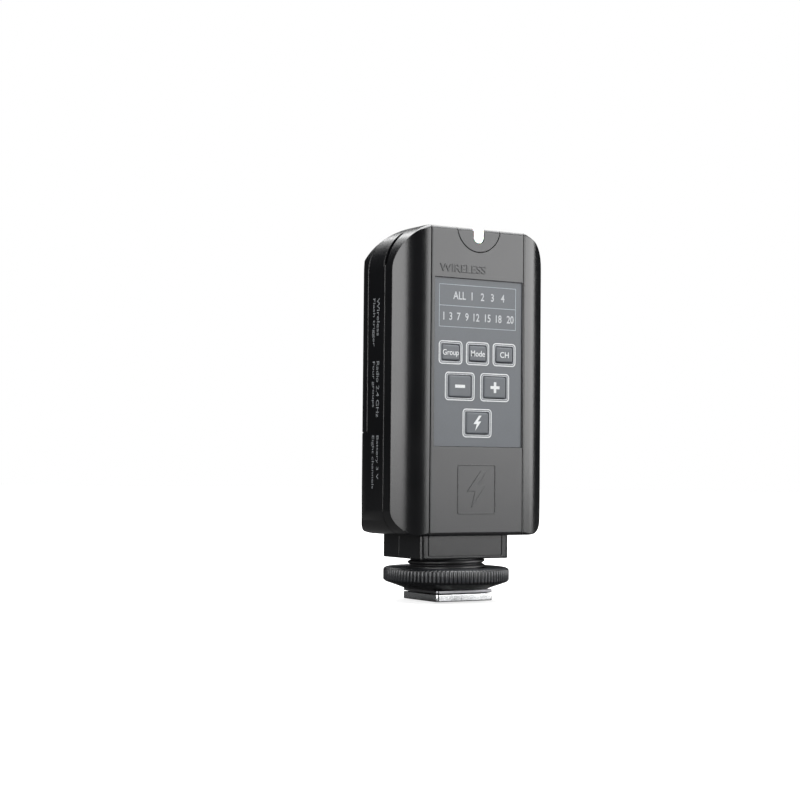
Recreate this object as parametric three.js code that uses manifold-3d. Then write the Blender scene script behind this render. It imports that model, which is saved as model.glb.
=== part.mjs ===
// A wireless flash trigger: a tilting transmitter body on a hot-shoe foot with a screw-down locking ring.
// Millimetres, +Z up. The origin is on the locking ring's axis, at the underside of the shoe foot.
// The keypad faces -Y, and the body tilts back towards +Y about a hinge that lies along X.
import * as THREE from "three";
import { mergeVertices } from "three/addons/utils/BufferGeometryUtils.js";
import Module from "manifold-3d";

const wasm = await Module();
wasm.setup();

// ---- driving dimensions -------------------------------------------------------------------------

const BODY = { half: 24.9, bottom: 18.3, top: 103.9, front: -15.5, wall: 1.8 };
const CORNER = { top: 13.3, bottom: 7 }; // the outline's rounded corners, seen from the front
const SHOULDER = { x: 15.4, y: -4.1, radius: 11.4 }; // the curve from the front panel round to the side
const REAR_CURVE = { y: 2.25, acrossX: 13, acrossY: 11.3 }; // the quarter ellipse from the side to the back
const CROWN = { y: -7, frontAcross: 20, frontRise: 10, backAcross: 18, backRise: 32 }; // the domed top
const BACK = { lower: 11.3, belly: 13.3, stepStart: 40.5, stepEnd: 46.4, edge: 2.5 };
const EDGE_ROUND = 1.2;
const SEAM = { y: -6.6, gap: 0.1 };
const CAVITY_FRONT = -12.4;

const PANEL = { half: 15.2, back: -13.9, slotHalf: 15.4, slotFloor: -13.8 };
const LABEL = { left: -14.3, right: 14.9, bottom: 42.7, top: 89.05, front: -15.2, back: -14.9, gap: 0.1 };
const DISPLAY = { half: 12.4, bottom: 75.9, top: 86.8 };
const LIGHT = { half: 1.65, low: 99, discRadius: 7.15, discZ: 103.7, discBack: -14.4, back: -10.2, gap: 0.12 };
const KEY = { front: -15.35, flangeFront: -13.8, flangeBack: -13.2, flange: 0.6, stemEnd: -12.35, gap: 0.12 };
const SMALL_KEY = { w: 5.7, h: 4.35 };
const LARGE_KEY = { w: 7.4, h: 6 };
const KEYS = [
  { name: "key_group", x: -8.9, z: 68.5, ...SMALL_KEY },
  { name: "key_mode", x: 0, z: 68.5, ...SMALL_KEY },
  { name: "key_channel", x: 8.9, z: 68.5, ...SMALL_KEY },
  { name: "key_minus", x: -5.8, z: 59.3, ...LARGE_KEY },
  { name: "key_plus", x: 5.8, z: 59.3, ...LARGE_KEY },
  { name: "key_test", x: 0, z: 49.3, ...LARGE_KEY },
];
const KEY_WINDOW = { half: 12.9, bottom: 45, top: 72 };
const BOARD = { half: 17, bottom: 37, top: 99.6, front: -10, back: -8.8 };

const DOOR = { y: 2.25, z: 46.5, gap: 0.1 };
const BAY = { floorFront: 0.5, floorBack: 2.1, shelfBottom: 44.9 };
const CELL = { radius: 12.25, thickness: 3, z: 64.5, back: 8.1 };
const SHELL_SCREWS = { x: 19.6, lowZ: 38, highZ: 89, pilot: 0.85, clearance: 1.15 };
const BOARD_SCREWS = { x: 14, lowZ: 39.8, highZ: 96.5, post: 1.9, pilot: 0.75, clearance: 0.95 };
const SOCKET = { y: -2.2, z: 58, bush: 2.7, bore: 1.8 };
const SWITCH = { y: -2.2, z: 77, travel: 3 };

const HINGE = { y: 0.4, z: 22.9, pinRadius: 2, boreRadius: 2.1, headRadius: 2.65, leadRadius: 1.15 };
const BLOCK = { half: 14.6, radius: 10.3, bottom: 11.7, wall: 1.7, split: 1.6, corner: 1 };
const BLOCK_SCREWS = { x: 9.6, z: 17.1, post: 2.3, headBack: 10.2 };
const NECK_SCREWS = { x: 8, shank: 0.85, clearance: 0.95 };
const FACE_PLATE = { half: 12.3, bottom: 12.3, line: 0.25, back: -9.6 };
const NOTCH = { half: 15, radius: 11, front: -12.4, wall: 1.4, corner: 2 };
const WASHER = { inner: 2.3, outer: 4.6, from: 14.05, to: 14.95 };

const FOOT = { half: 9.3, front: -9.9, back: 8.1, thickness: 2, corner: 0.8 };
const FOOT_Y = (FOOT.front + FOOT.back) / 2;
const SPACER = { half: 6.2, halfLength: 7, top: 5.6 };
const CLAMP = { bottom: 2.25, top: 3.1, windowHalf: 6.4, windowHalfLength: 7.2 };
const RING = { radius: 17.75, bore: 11.15, bottom: 3.15, coneRadius: 11.9, knurlBottom: 5.1, top: 9.1 };
const KNURL = { ribs: 96, depth: 0.35 };
const THREAD = { major: 10.9, root: 10, pitch: 1.5 };
const CONTACT = { radius: 1, collar: 1.8, sleeve: 3.1, hole: 3.2, tip: -0.45, cup: 2.1 };
const FOOT_SCREWS = { x: 4.2, y: 5, shank: 0.9, head: 1.7 };
const LEAD_RADIUS = 0.6;

const FAR = 60; // reaches past the object on every side
const ARC_STEPS = 2; // three.js cuts an arc into this many steps for each curve segment

// ---- shapes -------------------------------------------------------------------------------------

function solid(geometry) {
  const bare = geometry.clone();
  bare.deleteAttribute("normal");
  bare.deleteAttribute("uv");
  const merged = mergeVertices(bare, 1e-4);
  const mesh = new wasm.Mesh({
    numProp: 3,
    vertProperties: merged.attributes.position.array,
    triVerts: Uint32Array.from(merged.index.array),
  });
  return new wasm.Manifold(mesh);
}

function geometryOf(shape) {
  const mesh = shape.getMesh();
  const geometry = new THREE.BufferGeometry();
  geometry.setAttribute("position", new THREE.BufferAttribute(mesh.vertProperties, 3));
  geometry.setIndex(new THREE.BufferAttribute(mesh.triVerts, 1));
  geometry.computeVertexNormals();
  return geometry;
}

function box(x0, x1, y0, y1, z0, z1) {
  const geometry = new THREE.BoxGeometry(x1 - x0, y1 - y0, z1 - z0);
  geometry.translate((x0 + x1) / 2, (y0 + y1) / 2, (z0 + z1) / 2);
  return solid(geometry);
}

const cylinder = {
  x: (y, z, r, x0, x1, sides = 24) => placedCylinder(r, r, x1 - x0, sides, "z", [(x0 + x1) / 2, y, z]),
  y: (x, z, r, y0, y1, sides = 24) => placedCylinder(r, r, y1 - y0, sides, "y", [x, (y0 + y1) / 2, z]),
  z: (x, y, r, z0, z1, sides = 24) => placedCylinder(r, r, z1 - z0, sides, "x", [x, y, (z0 + z1) / 2]),
};

// A three.js cylinder stands along Y, so it is turned about the given axis to lie along X or Z.
function placedCylinder(top, bottom, length, sides, turnAbout, at) {
  const geometry = new THREE.CylinderGeometry(top, bottom, length, sides);
  if (turnAbout === "z") geometry.rotateZ(-Math.PI / 2);
  if (turnAbout === "x") geometry.rotateX(Math.PI / 2);
  geometry.translate(...at);
  return solid(geometry);
}

// Extrusions of an outline: in XY along Z, in YZ along X, and in XZ along Y.
const extrude = {
  z: (shape, z0, z1, segments = 8) => placedExtrusion(shape, z1 - z0, segments, "z", z0),
  x: (shape, x0, x1, segments = 8) => placedExtrusion(shape, x1 - x0, segments, "x", x0),
  y: (shape, y0, y1, segments = 8) => placedExtrusion(shape, y1 - y0, segments, "y", y1),
};

function placedExtrusion(shape, depth, curveSegments, axis, start, bevel = {}) {
  const geometry = new THREE.ExtrudeGeometry(shape, {
    depth,
    curveSegments: curveSegments / ARC_STEPS,
    bevelEnabled: false,
    ...bevel,
  });
  const turn = new THREE.Matrix4();
  const X = new THREE.Vector3(1, 0, 0);
  const Y = new THREE.Vector3(0, 1, 0);
  const Z = new THREE.Vector3(0, 0, 1);
  if (axis === "x") turn.makeBasis(Y, Z, X);
  if (axis === "y") turn.makeBasis(X, Z, Y.clone().negate());
  geometry.applyMatrix4(turn);
  const offset = { x: [start, 0, 0], y: [0, start, 0], z: [0, 0, start] }[axis];
  geometry.translate(...offset);
  return solid(geometry);
}

function roundedRect(x0, x1, y0, y1, lowRadius, highRadius = lowRadius) {
  const shape = new THREE.Shape();
  shape.moveTo(x0 + lowRadius, y0);
  shape.lineTo(x1 - lowRadius, y0);
  shape.absarc(x1 - lowRadius, y0 + lowRadius, lowRadius, -Math.PI / 2, 0);
  shape.lineTo(x1, y1 - highRadius);
  shape.absarc(x1 - highRadius, y1 - highRadius, highRadius, 0, Math.PI / 2);
  shape.lineTo(x0 + highRadius, y1);
  shape.absarc(x0 + highRadius, y1 - highRadius, highRadius, Math.PI / 2, Math.PI);
  shape.lineTo(x0, y0 + lowRadius);
  shape.absarc(x0 + lowRadius, y0 + lowRadius, lowRadius, Math.PI, Math.PI * 1.5);
  return shape;
}

function lathe(profile, sides = 48) {
  const points = profile.map(([r, z]) => new THREE.Vector2(r, z));
  const geometry = new THREE.LatheGeometry(points, sides);
  geometry.rotateX(Math.PI / 2);
  return solid(geometry);
}

function tubeAlong(points, radius, steps, sides) {
  const path = new THREE.CatmullRomCurve3(points.map((p) => new THREE.Vector3(...p)));
  const section = new THREE.Shape();
  section.absarc(0, 0, radius, 0, Math.PI * 2);
  const geometry = new THREE.ExtrudeGeometry(section, {
    steps,
    curveSegments: sides / ARC_STEPS,
    extrudePath: path,
  });
  return solid(geometry);
}

function mirrored(build) {
  return [build(-1), build(1)];
}

// The two ends of a span along X, in order, on the side given.
function alongX(side, from, to) {
  return [side * from, side * to].sort((a, b) => a - b);
}

function join(...shapes) {
  return shapes.reduce((whole, shape) => whole.add(shape));
}

// ---- the transmitter body -----------------------------------------------------------------------

// The section of the body in plan, drawn in by the given inset.
function bodyPlan(inset) {
  const half = BODY.half - inset;
  const radius = SHOULDER.radius - inset;
  const shoulderEnd = Math.acos((half - SHOULDER.x) / radius);
  const ellipseX = REAR_CURVE.acrossX - inset;
  const ellipseY = REAR_CURVE.acrossY - inset;
  const centreX = half - ellipseX;
  const shape = new THREE.Shape();
  shape.moveTo(-SHOULDER.x, SHOULDER.y - radius);
  shape.lineTo(SHOULDER.x, SHOULDER.y - radius);
  shape.absarc(SHOULDER.x, SHOULDER.y, radius, -Math.PI / 2, -shoulderEnd);
  shape.lineTo(half, REAR_CURVE.y);
  shape.absellipse(centreX, REAR_CURVE.y, ellipseX, ellipseY, 0, Math.PI / 2);
  shape.lineTo(-centreX, REAR_CURVE.y + ellipseY);
  shape.absellipse(-centreX, REAR_CURVE.y, ellipseX, ellipseY, Math.PI / 2, Math.PI);
  shape.lineTo(-half, SHOULDER.y - radius * Math.sin(shoulderEnd));
  shape.absarc(-SHOULDER.x, SHOULDER.y, radius, Math.PI + shoulderEnd, Math.PI * 1.5);
  return shape;
}

// The section of the body from the side: flat in front, domed on top, a shallow belly behind the battery.
function bodySide(inset) {
  const front = BODY.front + inset;
  const bottom = BODY.bottom + inset;
  const edge = BACK.edge - inset / 2;
  const domeBack = BODY.top - CROWN.backRise;
  const domeFront = BODY.top - CROWN.frontRise;
  const across = CROWN.frontAcross - inset;
  const rise = CROWN.frontRise - inset;
  const drop = Math.asin((CROWN.y - front - EDGE_ROUND) / across);
  const shape = new THREE.Shape();
  shape.moveTo(front, bottom);
  shape.lineTo(BACK.lower - inset - edge, bottom);
  shape.absarc(BACK.lower - inset - edge, bottom + edge, edge, -Math.PI / 2, 0);
  shape.lineTo(BACK.lower - inset, BACK.stepStart);
  shape.lineTo(BACK.belly - inset, BACK.stepEnd);
  shape.lineTo(CROWN.y + CROWN.backAcross - inset, domeBack);
  shape.absellipse(CROWN.y, domeBack, CROWN.backAcross - inset, CROWN.backRise - inset, 0, Math.PI / 2);
  shape.absellipse(CROWN.y, domeFront, across, rise, Math.PI / 2, Math.PI / 2 + drop);
  const frontEdge = domeFront + rise * Math.cos(drop) - EDGE_ROUND;
  shape.absarc(front + EDGE_ROUND, frontEdge, EDGE_ROUND, Math.PI / 2, Math.PI);
  shape.lineTo(front, bottom);
  return shape;
}

function bodyOutline(inset) {
  return roundedRect(
    -BODY.half + inset,
    BODY.half - inset,
    BODY.bottom + inset,
    BODY.top - inset,
    CORNER.bottom - inset,
    CORNER.top - inset,
  );
}

function bodySolid(inset) {
  const back = BACK.belly + EDGE_ROUND;
  const bevel = {
    bevelEnabled: inset === 0,
    bevelThickness: EDGE_ROUND,
    bevelSize: EDGE_ROUND,
    bevelOffset: -EDGE_ROUND,
    bevelSegments: 3,
  };
  const trim = inset === 0 ? EDGE_ROUND : 0;
  const length = back - BODY.front - 2 * trim;
  const outline = placedExtrusion(bodyOutline(inset), length, 8, "y", back - trim, bevel);
  const plan = extrude.z(bodyPlan(inset), -FAR, FAR * 3, 8);
  const side = extrude.x(bodySide(inset), -FAR, FAR, 10);
  return outline.intersect(plan).intersect(side);
}

// The space at the body's lower end that the foot block swings in: open below and behind.
function notchSolid(grow) {
  const half = NOTCH.half + grow;
  const radius = NOTCH.radius + grow;
  const low = roundedRect(-half, half, NOTCH.front - grow, HINGE.y, NOTCH.corner, 0.01);
  const front = extrude.z(low, BODY.bottom - 5, HINGE.z + 1.5, 4);
  const barrel = cylinder.x(HINGE.y, HINGE.z, radius, -half, half, 64);
  const back = box(-half, half, HINGE.y, FAR, BODY.bottom - 5, HINGE.z + radius);
  return join(front, barrel, back);
}

const outer = bodySolid(0);
const inner = bodySolid(BODY.wall).intersect(box(-FAR, FAR, CAVITY_FRONT, FAR, -FAR, FAR * 3));
const notch = notchSolid(0);
const hingeBore = cylinder.x(HINGE.y, HINGE.z, HINGE.boreRadius, -18, 18);
const casing = outer.subtract(inner.subtract(notchSolid(NOTCH.wall))).subtract(notch).subtract(hingeBore);

// A slot for a wrist strap, round the upper corner on the -X side, astride the seam.
function strapSlot() {
  const centreX = -BODY.half + CORNER.top;
  const centreZ = BODY.top - CORNER.top;
  const from = Math.PI - 0.95;
  const to = Math.PI - 0.12;
  const shape = new THREE.Shape();
  shape.absarc(centreX, centreZ, CORNER.top + 1.5, from, to, false);
  shape.absarc(centreX, centreZ, CORNER.top - 2.4, to, from, true);
  return extrude.y(shape, SEAM.y - 0.85, SEAM.y + 0.85, 8);
}

function lightSection(grow) {
  const half = LIGHT.half + grow;
  const shape = new THREE.Shape();
  shape.absarc(0, LIGHT.low + LIGHT.half, half, Math.PI, Math.PI * 2);
  shape.lineTo(half, FAR * 2);
  shape.lineTo(-half, FAR * 2);
  return shape;
}

const lightSlot = extrude.y(lightSection(LIGHT.gap), BODY.front - 1, LIGHT.back + 0.2, 12);

// The board is held by two screws, low on the +X side and high on the -X side.
function boardScrewZ(side) {
  return side > 0 ? BOARD_SCREWS.lowZ : BOARD_SCREWS.highZ;
}

function frontShell() {
  const seam = SEAM.y - SEAM.gap / 2;
  const wallIn = CAVITY_FRONT - 0.2;
  const half = casing.intersect(box(-FAR, FAR, -FAR, seam, 0, FAR * 2));
  const { x, lowZ, highZ, pilot } = SHELL_SCREWS;
  const bosses = mirrored((side) =>
    join(
      cylinder.y(side * x, lowZ, 2.4, wallIn, seam, 16),
      cylinder.y(side * x, highZ, 2.4, wallIn, seam, 16),
      cylinder.y(side * BOARD_SCREWS.x, boardScrewZ(side), BOARD_SCREWS.post, wallIn, BOARD.front, 16),
    ).intersect(inner.add(box(-FAR, FAR, CAVITY_FRONT - 1, CAVITY_FRONT + 0.1, 22, 100))),
  );
  const channel = box(-PANEL.slotHalf, PANEL.slotHalf, -FAR, PANEL.slotFloor, 0, FAR * 2);
  const window = (half, bottom, top) => box(-half, half, -FAR, CAVITY_FRONT + 0.1, bottom, top);
  const keyWindow = window(KEY_WINDOW.half, KEY_WINDOW.bottom, KEY_WINDOW.top);
  const displayWindow = window(DISPLAY.half, DISPLAY.bottom, DISPLAY.top);
  const pilots = mirrored((side) =>
    join(
      cylinder.y(side * x, lowZ, pilot, -11.6, 0, 12),
      cylinder.y(side * x, highZ, pilot, -11.6, 0, 12),
      cylinder.y(side * BOARD_SCREWS.x, boardScrewZ(side), BOARD_SCREWS.pilot, -12.2, 0, 12),
    ),
  );
  return join(half, ...bosses)
    .subtract(join(channel, keyWindow, displayWindow, lightSlot, strapSlot()))
    .subtract(join(...pilots));
}

function rearShell() {
  const half = casing.intersect(box(-FAR, FAR, SEAM.y + SEAM.gap / 2, FAR, 0, FAR * 2));
  const floor = inner.intersect(box(-FAR, FAR, BAY.floorFront, BAY.floorBack, BAY.shelfBottom, FAR * 2));
  const shelf = inner.intersect(box(-FAR, FAR, BAY.floorFront, FAR, BAY.shelfBottom, DOOR.z - DOOR.gap));
  const { x, lowZ, highZ, clearance } = SHELL_SCREWS;
  const seam = SEAM.y + SEAM.gap / 2;
  const bosses = mirrored((side) =>
    join(
      cylinder.y(side * x, lowZ, 2.6, seam, FAR, 16),
      cylinder.y(side * x, highZ, 2.6, seam, BAY.floorBack, 16),
    ).intersect(outer),
  );
  const holes = mirrored((side) =>
    join(
      cylinder.y(side * x, lowZ, clearance, -FAR, FAR, 12),
      cylinder.y(side * x, lowZ, 2, -3, FAR, 16),
      cylinder.y(side * x, highZ, clearance, -FAR, FAR, 12),
    ),
  );
  const doorZone = box(-FAR, FAR, DOOR.y, FAR, DOOR.z, FAR * 2);
  const socketHole = cylinder.x(SOCKET.y, SOCKET.z, SOCKET.bush + 0.1, 20, FAR, 24);
  const windowTop = SWITCH.z + 2.2 + SWITCH.travel;
  const knobWindow = box(20, FAR, SWITCH.y - 1.5, SWITCH.y + 1.5, SWITCH.z - 2.2, windowTop);
  return join(half.subtract(doorZone), floor, shelf, ...bosses)
    .subtract(join(...holes, socketHole, knobWindow, strapSlot()));
}

function batteryDoor() {
  const gap = DOOR.gap;
  return outer.subtract(inner).intersect(box(-FAR, FAR, DOOR.y + gap, FAR, DOOR.z + gap, FAR * 2));
}

function frontPanel() {
  const strip = outer.intersect(box(-PANEL.half, PANEL.half, -FAR, PANEL.back, 0, FAR * 2));
  const recess = box(LABEL.left, LABEL.right, -FAR, LABEL.back, LABEL.bottom, LABEL.top);
  const disc = cylinder.y(0, LIGHT.discZ, LIGHT.discRadius + LIGHT.gap, -FAR, LIGHT.discBack, 48);
  const window = box(-DISPLAY.half, DISPLAY.half, -FAR, 0, DISPLAY.bottom, DISPLAY.top);
  const holes = KEYS.map((key) => keyPrism(key, KEY.gap, -FAR, 0));
  return strip.subtract(join(recess, disc, window, lightSlot, ...holes));
}

function keyPrism(key, grow, y0, y1) {
  const halfW = key.w / 2 + grow;
  const halfH = key.h / 2 + grow;
  const shape = roundedRect(key.x - halfW, key.x + halfW, key.z - halfH, key.z + halfH, 0.6 + grow);
  return extrude.y(shape, y0, y1, 3);
}

function keypadOverlay() {
  const gap = LABEL.gap;
  const shape = roundedRect(LABEL.left + gap, LABEL.right - gap, LABEL.bottom + gap, LABEL.top - gap, 0.3);
  const sheet = extrude.y(shape, LABEL.front, LABEL.back, 2);
  return sheet.subtract(join(...KEYS.map((key) => keyPrism(key, KEY.gap, -FAR, 0))));
}

function keyCap(key) {
  const cap = keyPrism(key, 0, KEY.front, KEY.flangeFront + 0.05);
  const flange = keyPrism(key, KEY.flange, KEY.flangeFront, KEY.flangeBack);
  const stem = cylinder.y(key.x, key.z, 1.2, KEY.flangeBack - 0.1, KEY.stemEnd, 12);
  return join(cap, flange, stem);
}

function keyMat() {
  const sheet = box(-12.5, 12.5, -11, BOARD.front, 45.5, 71.5);
  const pads = KEYS.map((key) => cylinder.y(key.x, key.z, 1.6, -12, -10.9, 12));
  return join(sheet, ...pads);
}

function lightPipe() {
  return outer.intersect(extrude.y(lightSection(0), BODY.front, LIGHT.back, 12));
}

function lightBezel() {
  const disc = cylinder.y(0, LIGHT.discZ, LIGHT.discRadius, BODY.front, LIGHT.discBack, 48);
  return outer.intersect(disc).subtract(lightSlot);
}

// A row of lamps behind one line of the display.
function ledRow(z, count) {
  const strip = box(-11.6, 11.6, -10.7, BOARD.front, z - 0.9, z + 0.9);
  const pitch = 22 / count;
  const lamps = Array.from({ length: count }, (_, i) => {
    const x = (i - (count - 1) / 2) * pitch;
    return box(x - 0.7, x + 0.7, -11.4, -10.6, z - 0.6, z + 0.6);
  });
  return join(strip, ...lamps);
}

function circuitBoard() {
  const shape = roundedRect(-BOARD.half, BOARD.half, BOARD.bottom, BOARD.top, 1.5, 6);
  const { x, clearance } = BOARD_SCREWS;
  const holes = mirrored((side) => cylinder.y(side * x, boardScrewZ(side), clearance, -FAR, FAR, 12));
  return extrude.y(shape, BOARD.front, BOARD.back, 4).subtract(join(...holes));
}

function antennaStrip() {
  const top = box(-4, 10, -8.75, -8.25, 95.5, 97);
  const legs = [-3.9, 1.5].map((x) => box(x, x + 1.2, -8.75, -8.25, 91.5, 95.6));
  return join(top, ...legs);
}

function batteryHolder() {
  const pocket = cylinder.y(0, CELL.z, CELL.radius + 0.35, CELL.back - CELL.thickness - 0.1, FAR, 32);
  const well = box(-3, 3, BAY.floorBack + 0.9, FAR, CELL.z - 9, CELL.z + 9);
  const thumb = box(-5, 5, 4, FAR, CELL.z - 20, CELL.z);
  const clipSlot = box(-3.2, 3.2, -FAR, FAR, CELL.z + CELL.radius - 0.2, FAR * 2);
  const cradle = extrude.y(
    roundedRect(-15, 15, CELL.z - 14, CELL.z + 14.6, 3),
    BAY.floorBack,
    CELL.back - 0.4,
    4,
  );
  return cradle.subtract(join(pocket, well, thumb, clipSlot));
}

function coinCell() {
  const face = CELL.back - CELL.thickness;
  const can = cylinder.y(0, CELL.z, CELL.radius, face + 0.6, CELL.back, 32);
  const cap = cylinder.y(0, CELL.z, CELL.radius - 1.6, face, face + 0.7, 24);
  return join(can, cap);
}

function negativeContact() {
  const foot = box(-2.5, 2.5, BAY.floorBack + 1, BAY.floorBack + 1.3, CELL.z - 8, CELL.z + 2);
  const face = CELL.back - CELL.thickness;
  const leaf = box(-1.8, 1.8, BAY.floorBack + 1.2, face - 0.05, CELL.z - 1, CELL.z + 1.5);
  return join(foot, leaf);
}

function positiveContact() {
  const edge = CELL.z + CELL.radius;
  const upright = box(-2.6, 2.6, BAY.floorBack, CELL.back + 0.5, edge + 0.5, edge + 0.9);
  const lip = box(-2.6, 2.6, CELL.back + 0.1, CELL.back + 0.5, edge - 2.2, edge + 0.9);
  return join(upright, lip);
}

// ---- the side controls on the +X side -----------------------------------------------------------

function syncSocket() {
  const bush = cylinder.x(SOCKET.y, SOCKET.z, SOCKET.bush, 19, BODY.half - 0.3, 24);
  const housing = box(11.5, 22.6, SOCKET.y - 3.6, -0.2, SOCKET.z - 3.4, SOCKET.z + 3.4);
  const bore = cylinder.x(SOCKET.y, SOCKET.z, SOCKET.bore, 13, FAR, 20);
  return join(bush, housing).subtract(bore);
}

function switchBody() {
  const housing = box(18.6, 22.4, SWITCH.y - 2, SWITCH.y + 2, SWITCH.z - 4.5, SWITCH.z + 7.5);
  const slotTop = SWITCH.z + 1.9 + SWITCH.travel;
  const slot = box(20, FAR, SWITCH.y - 1, SWITCH.y + 1, SWITCH.z - 1.9, slotTop);
  return housing.subtract(slot);
}

// The knob stands at the lower end of its window, and slides up by the switch's travel.
function switchKnob() {
  const tongue = box(20.6, 24, SWITCH.y - 0.8, SWITCH.y + 0.8, SWITCH.z - 1.5, SWITCH.z + 1.5);
  const grip = box(23.4, BODY.half, SWITCH.y - 1.3, SWITCH.y + 1.3, SWITCH.z - 1.9, SWITCH.z + 1.9);
  const grooves = [-1.2, 0, 1.2].map((step) =>
    box(BODY.half - 0.35, FAR, -FAR, FAR, SWITCH.z + step - 0.22, SWITCH.z + step + 0.22),
  );
  return join(tongue, grip).subtract(join(...grooves));
}

// ---- screws, pins and washers -------------------------------------------------------------------

// A pan-head screw along Y, its head towards +Y and a cross recess in the head.
function screwY(x, z, headBack, headRadius, shankRadius, length) {
  const head = cylinder.y(x, z, headRadius, headBack - 1.3, headBack, 12);
  const shank = cylinder.y(x, z, shankRadius, headBack - 1.3 - length, headBack - 1.2, 8);
  const arm = headRadius * 0.55;
  const cross = join(
    box(x - arm, x + arm, headBack - 0.7, FAR, z - 0.22, z + 0.22),
    box(x - 0.22, x + 0.22, headBack - 0.7, FAR, z - arm, z + arm),
  );
  return join(head, shank).subtract(cross);
}

// A screw along Z: head down for the foot's countersunk screws, head up inside the block.
function footScrew(x, y) {
  const head = placedCylinder(FOOT_SCREWS.shank, FOOT_SCREWS.head, 1, 12, "x", [x, y, 0.65]);
  const shank = cylinder.z(x, y, FOOT_SCREWS.shank, 0.6, 9.4, 8);
  const arm = 1;
  const cross = join(
    box(x - arm, x + arm, y - 0.2, y + 0.2, -1, 0.7),
    box(x - 0.2, x + 0.2, y - arm, y + arm, -1, 0.7),
  );
  return join(head, shank).subtract(cross);
}

function neckScrew(x) {
  const seat = BLOCK.bottom + BLOCK.wall;
  const head = cylinder.z(x, 0, 1.6, seat, seat + 1.1, 12);
  const shank = cylinder.z(x, 0, NECK_SCREWS.shank, 7.6, seat + 0.1, 8);
  return join(head, shank).subtract(box(x - 1, x + 1, -0.2, 0.2, seat + 0.5, FAR));
}

function pivotPin(side) {
  const wallInside = NOTCH.half + NOTCH.wall + 0.1;
  const shaftEnds = alongX(side, 9.4, wallInside + 0.5);
  const headEnds = alongX(side, wallInside, wallInside + 1.1);
  const shaft = cylinder.x(HINGE.y, HINGE.z, HINGE.pinRadius, ...shaftEnds, 24);
  const head = cylinder.x(HINGE.y, HINGE.z, HINGE.headRadius, ...headEnds, 24);
  const bore = cylinder.x(HINGE.y, HINGE.z, HINGE.leadRadius, -FAR, FAR, 16);
  return join(shaft, head).subtract(bore);
}

function frictionWasher(side) {
  const ends = [side * WASHER.from, side * WASHER.to].sort((a, b) => a - b);
  const disc = cylinder.x(HINGE.y, HINGE.z, WASHER.outer, ...ends, 24);
  return disc.subtract(cylinder.x(HINGE.y, HINGE.z, WASHER.inner, -FAR, FAR, 16));
}

// ---- the foot -----------------------------------------------------------------------------------

function blockSide(inset) {
  const radius = BLOCK.radius - inset;
  const shape = new THREE.Shape();
  shape.moveTo(HINGE.y - radius, BLOCK.bottom + inset);
  shape.lineTo(HINGE.y + radius, BLOCK.bottom + inset);
  shape.lineTo(HINGE.y + radius, HINGE.z);
  shape.absarc(HINGE.y, HINGE.z, radius, 0, Math.PI);
  return shape;
}

function blockSolid(inset) {
  const half = BLOCK.half - inset;
  const depth = BLOCK.radius - inset;
  const plan = roundedRect(-half, half, HINGE.y - depth, HINGE.y + depth, BLOCK.corner - inset / 2);
  return extrude.x(blockSide(inset), -half, half, 24).intersect(extrude.z(plan, 0, FAR, 5));
}

function hollowBlock() {
  const { y, z } = HINGE;
  const bosses = mirrored((side) => cylinder.x(y, z, 4.6, ...alongX(side, 9, 13), 24));
  const posts = mirrored((side) =>
    cylinder.y(side * BLOCK_SCREWS.x, BLOCK_SCREWS.z, BLOCK_SCREWS.post, -9, 10, 16),
  );
  const sinks = mirrored((side) =>
    cylinder.x(y, z, WASHER.outer + 0.15, ...alongX(side, WASHER.from - 0.05, FAR), 32),
  );
  const floor = BLOCK.bottom + BLOCK.wall;
  const neckHoles = mirrored((side) =>
    cylinder.z(side * NECK_SCREWS.x, 0, NECK_SCREWS.clearance, 0, floor + 0.2, 12),
  );
  const leadHole = cylinder.z(0, FOOT_Y, CONTACT.hole, 0, BLOCK.bottom + 3, 24);
  return join(blockSolid(0).subtract(blockSolid(BLOCK.wall)), ...bosses, ...posts).subtract(
    join(...sinks, ...neckHoles, hingeBore, leadHole),
  );
}

// The face plate's outline is a fine groove in the front of the block.
function facePlateGroove() {
  const { half, bottom, line, back } = FACE_PLATE;
  const top = HINGE.z + 4;
  const outside = roundedRect(-half, half, bottom, top, 0.8);
  const inside = roundedRect(-half + line, half - line, bottom + line, top - line, 0.6);
  return extrude.y(outside, -FAR, back, 3).subtract(extrude.y(inside, -FAR, 0, 3));
}

function blockFront() {
  const { x, z } = BLOCK_SCREWS;
  const pilots = mirrored((side) => cylinder.y(side * x, z, 0.85, -7.5, FAR, 12));
  return hollowBlock()
    .intersect(box(-FAR, FAR, -FAR, BLOCK.split - 0.05, 0, FAR))
    .subtract(join(facePlateGroove(), ...pilots));
}

function blockRear() {
  const { x, z } = BLOCK_SCREWS;
  const holes = mirrored((side) =>
    join(cylinder.y(side * x, z, 1.05, -FAR, FAR, 12), cylinder.y(side * x, z, 1.9, 8.9, FAR, 16)),
  );
  return hollowBlock()
    .intersect(box(-FAR, FAR, BLOCK.split + 0.05, FAR, 0, FAR))
    .subtract(join(...holes));
}

function threadedNeck() {
  const turns = 4;
  const profile = [
    [0, SPACER.top],
    [THREAD.root, SPACER.top],
  ];
  for (let turn = 0; turn < turns; turn += 1) {
    const z = SPACER.top + turn * THREAD.pitch;
    profile.push([THREAD.major, z + 0.65]);
    profile.push([THREAD.major, z + 0.85]);
    profile.push([THREAD.root, z + THREAD.pitch]);
  }
  profile.push([THREAD.root, BLOCK.bottom]);
  profile.push([0, BLOCK.bottom]);
  const holes = [
    cylinder.z(0, FOOT_Y, CONTACT.hole, 0, FAR, 24),
    ...footScrewPlaces().map(([x, y]) => cylinder.z(x, y, FOOT_SCREWS.shank + 0.06, 0, 9.7, 12)),
    ...mirrored((side) => cylinder.z(side * NECK_SCREWS.x, 0, NECK_SCREWS.clearance, 7.3, FAR, 12)),
  ];
  return lathe(profile, 36).subtract(join(...holes));
}

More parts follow.
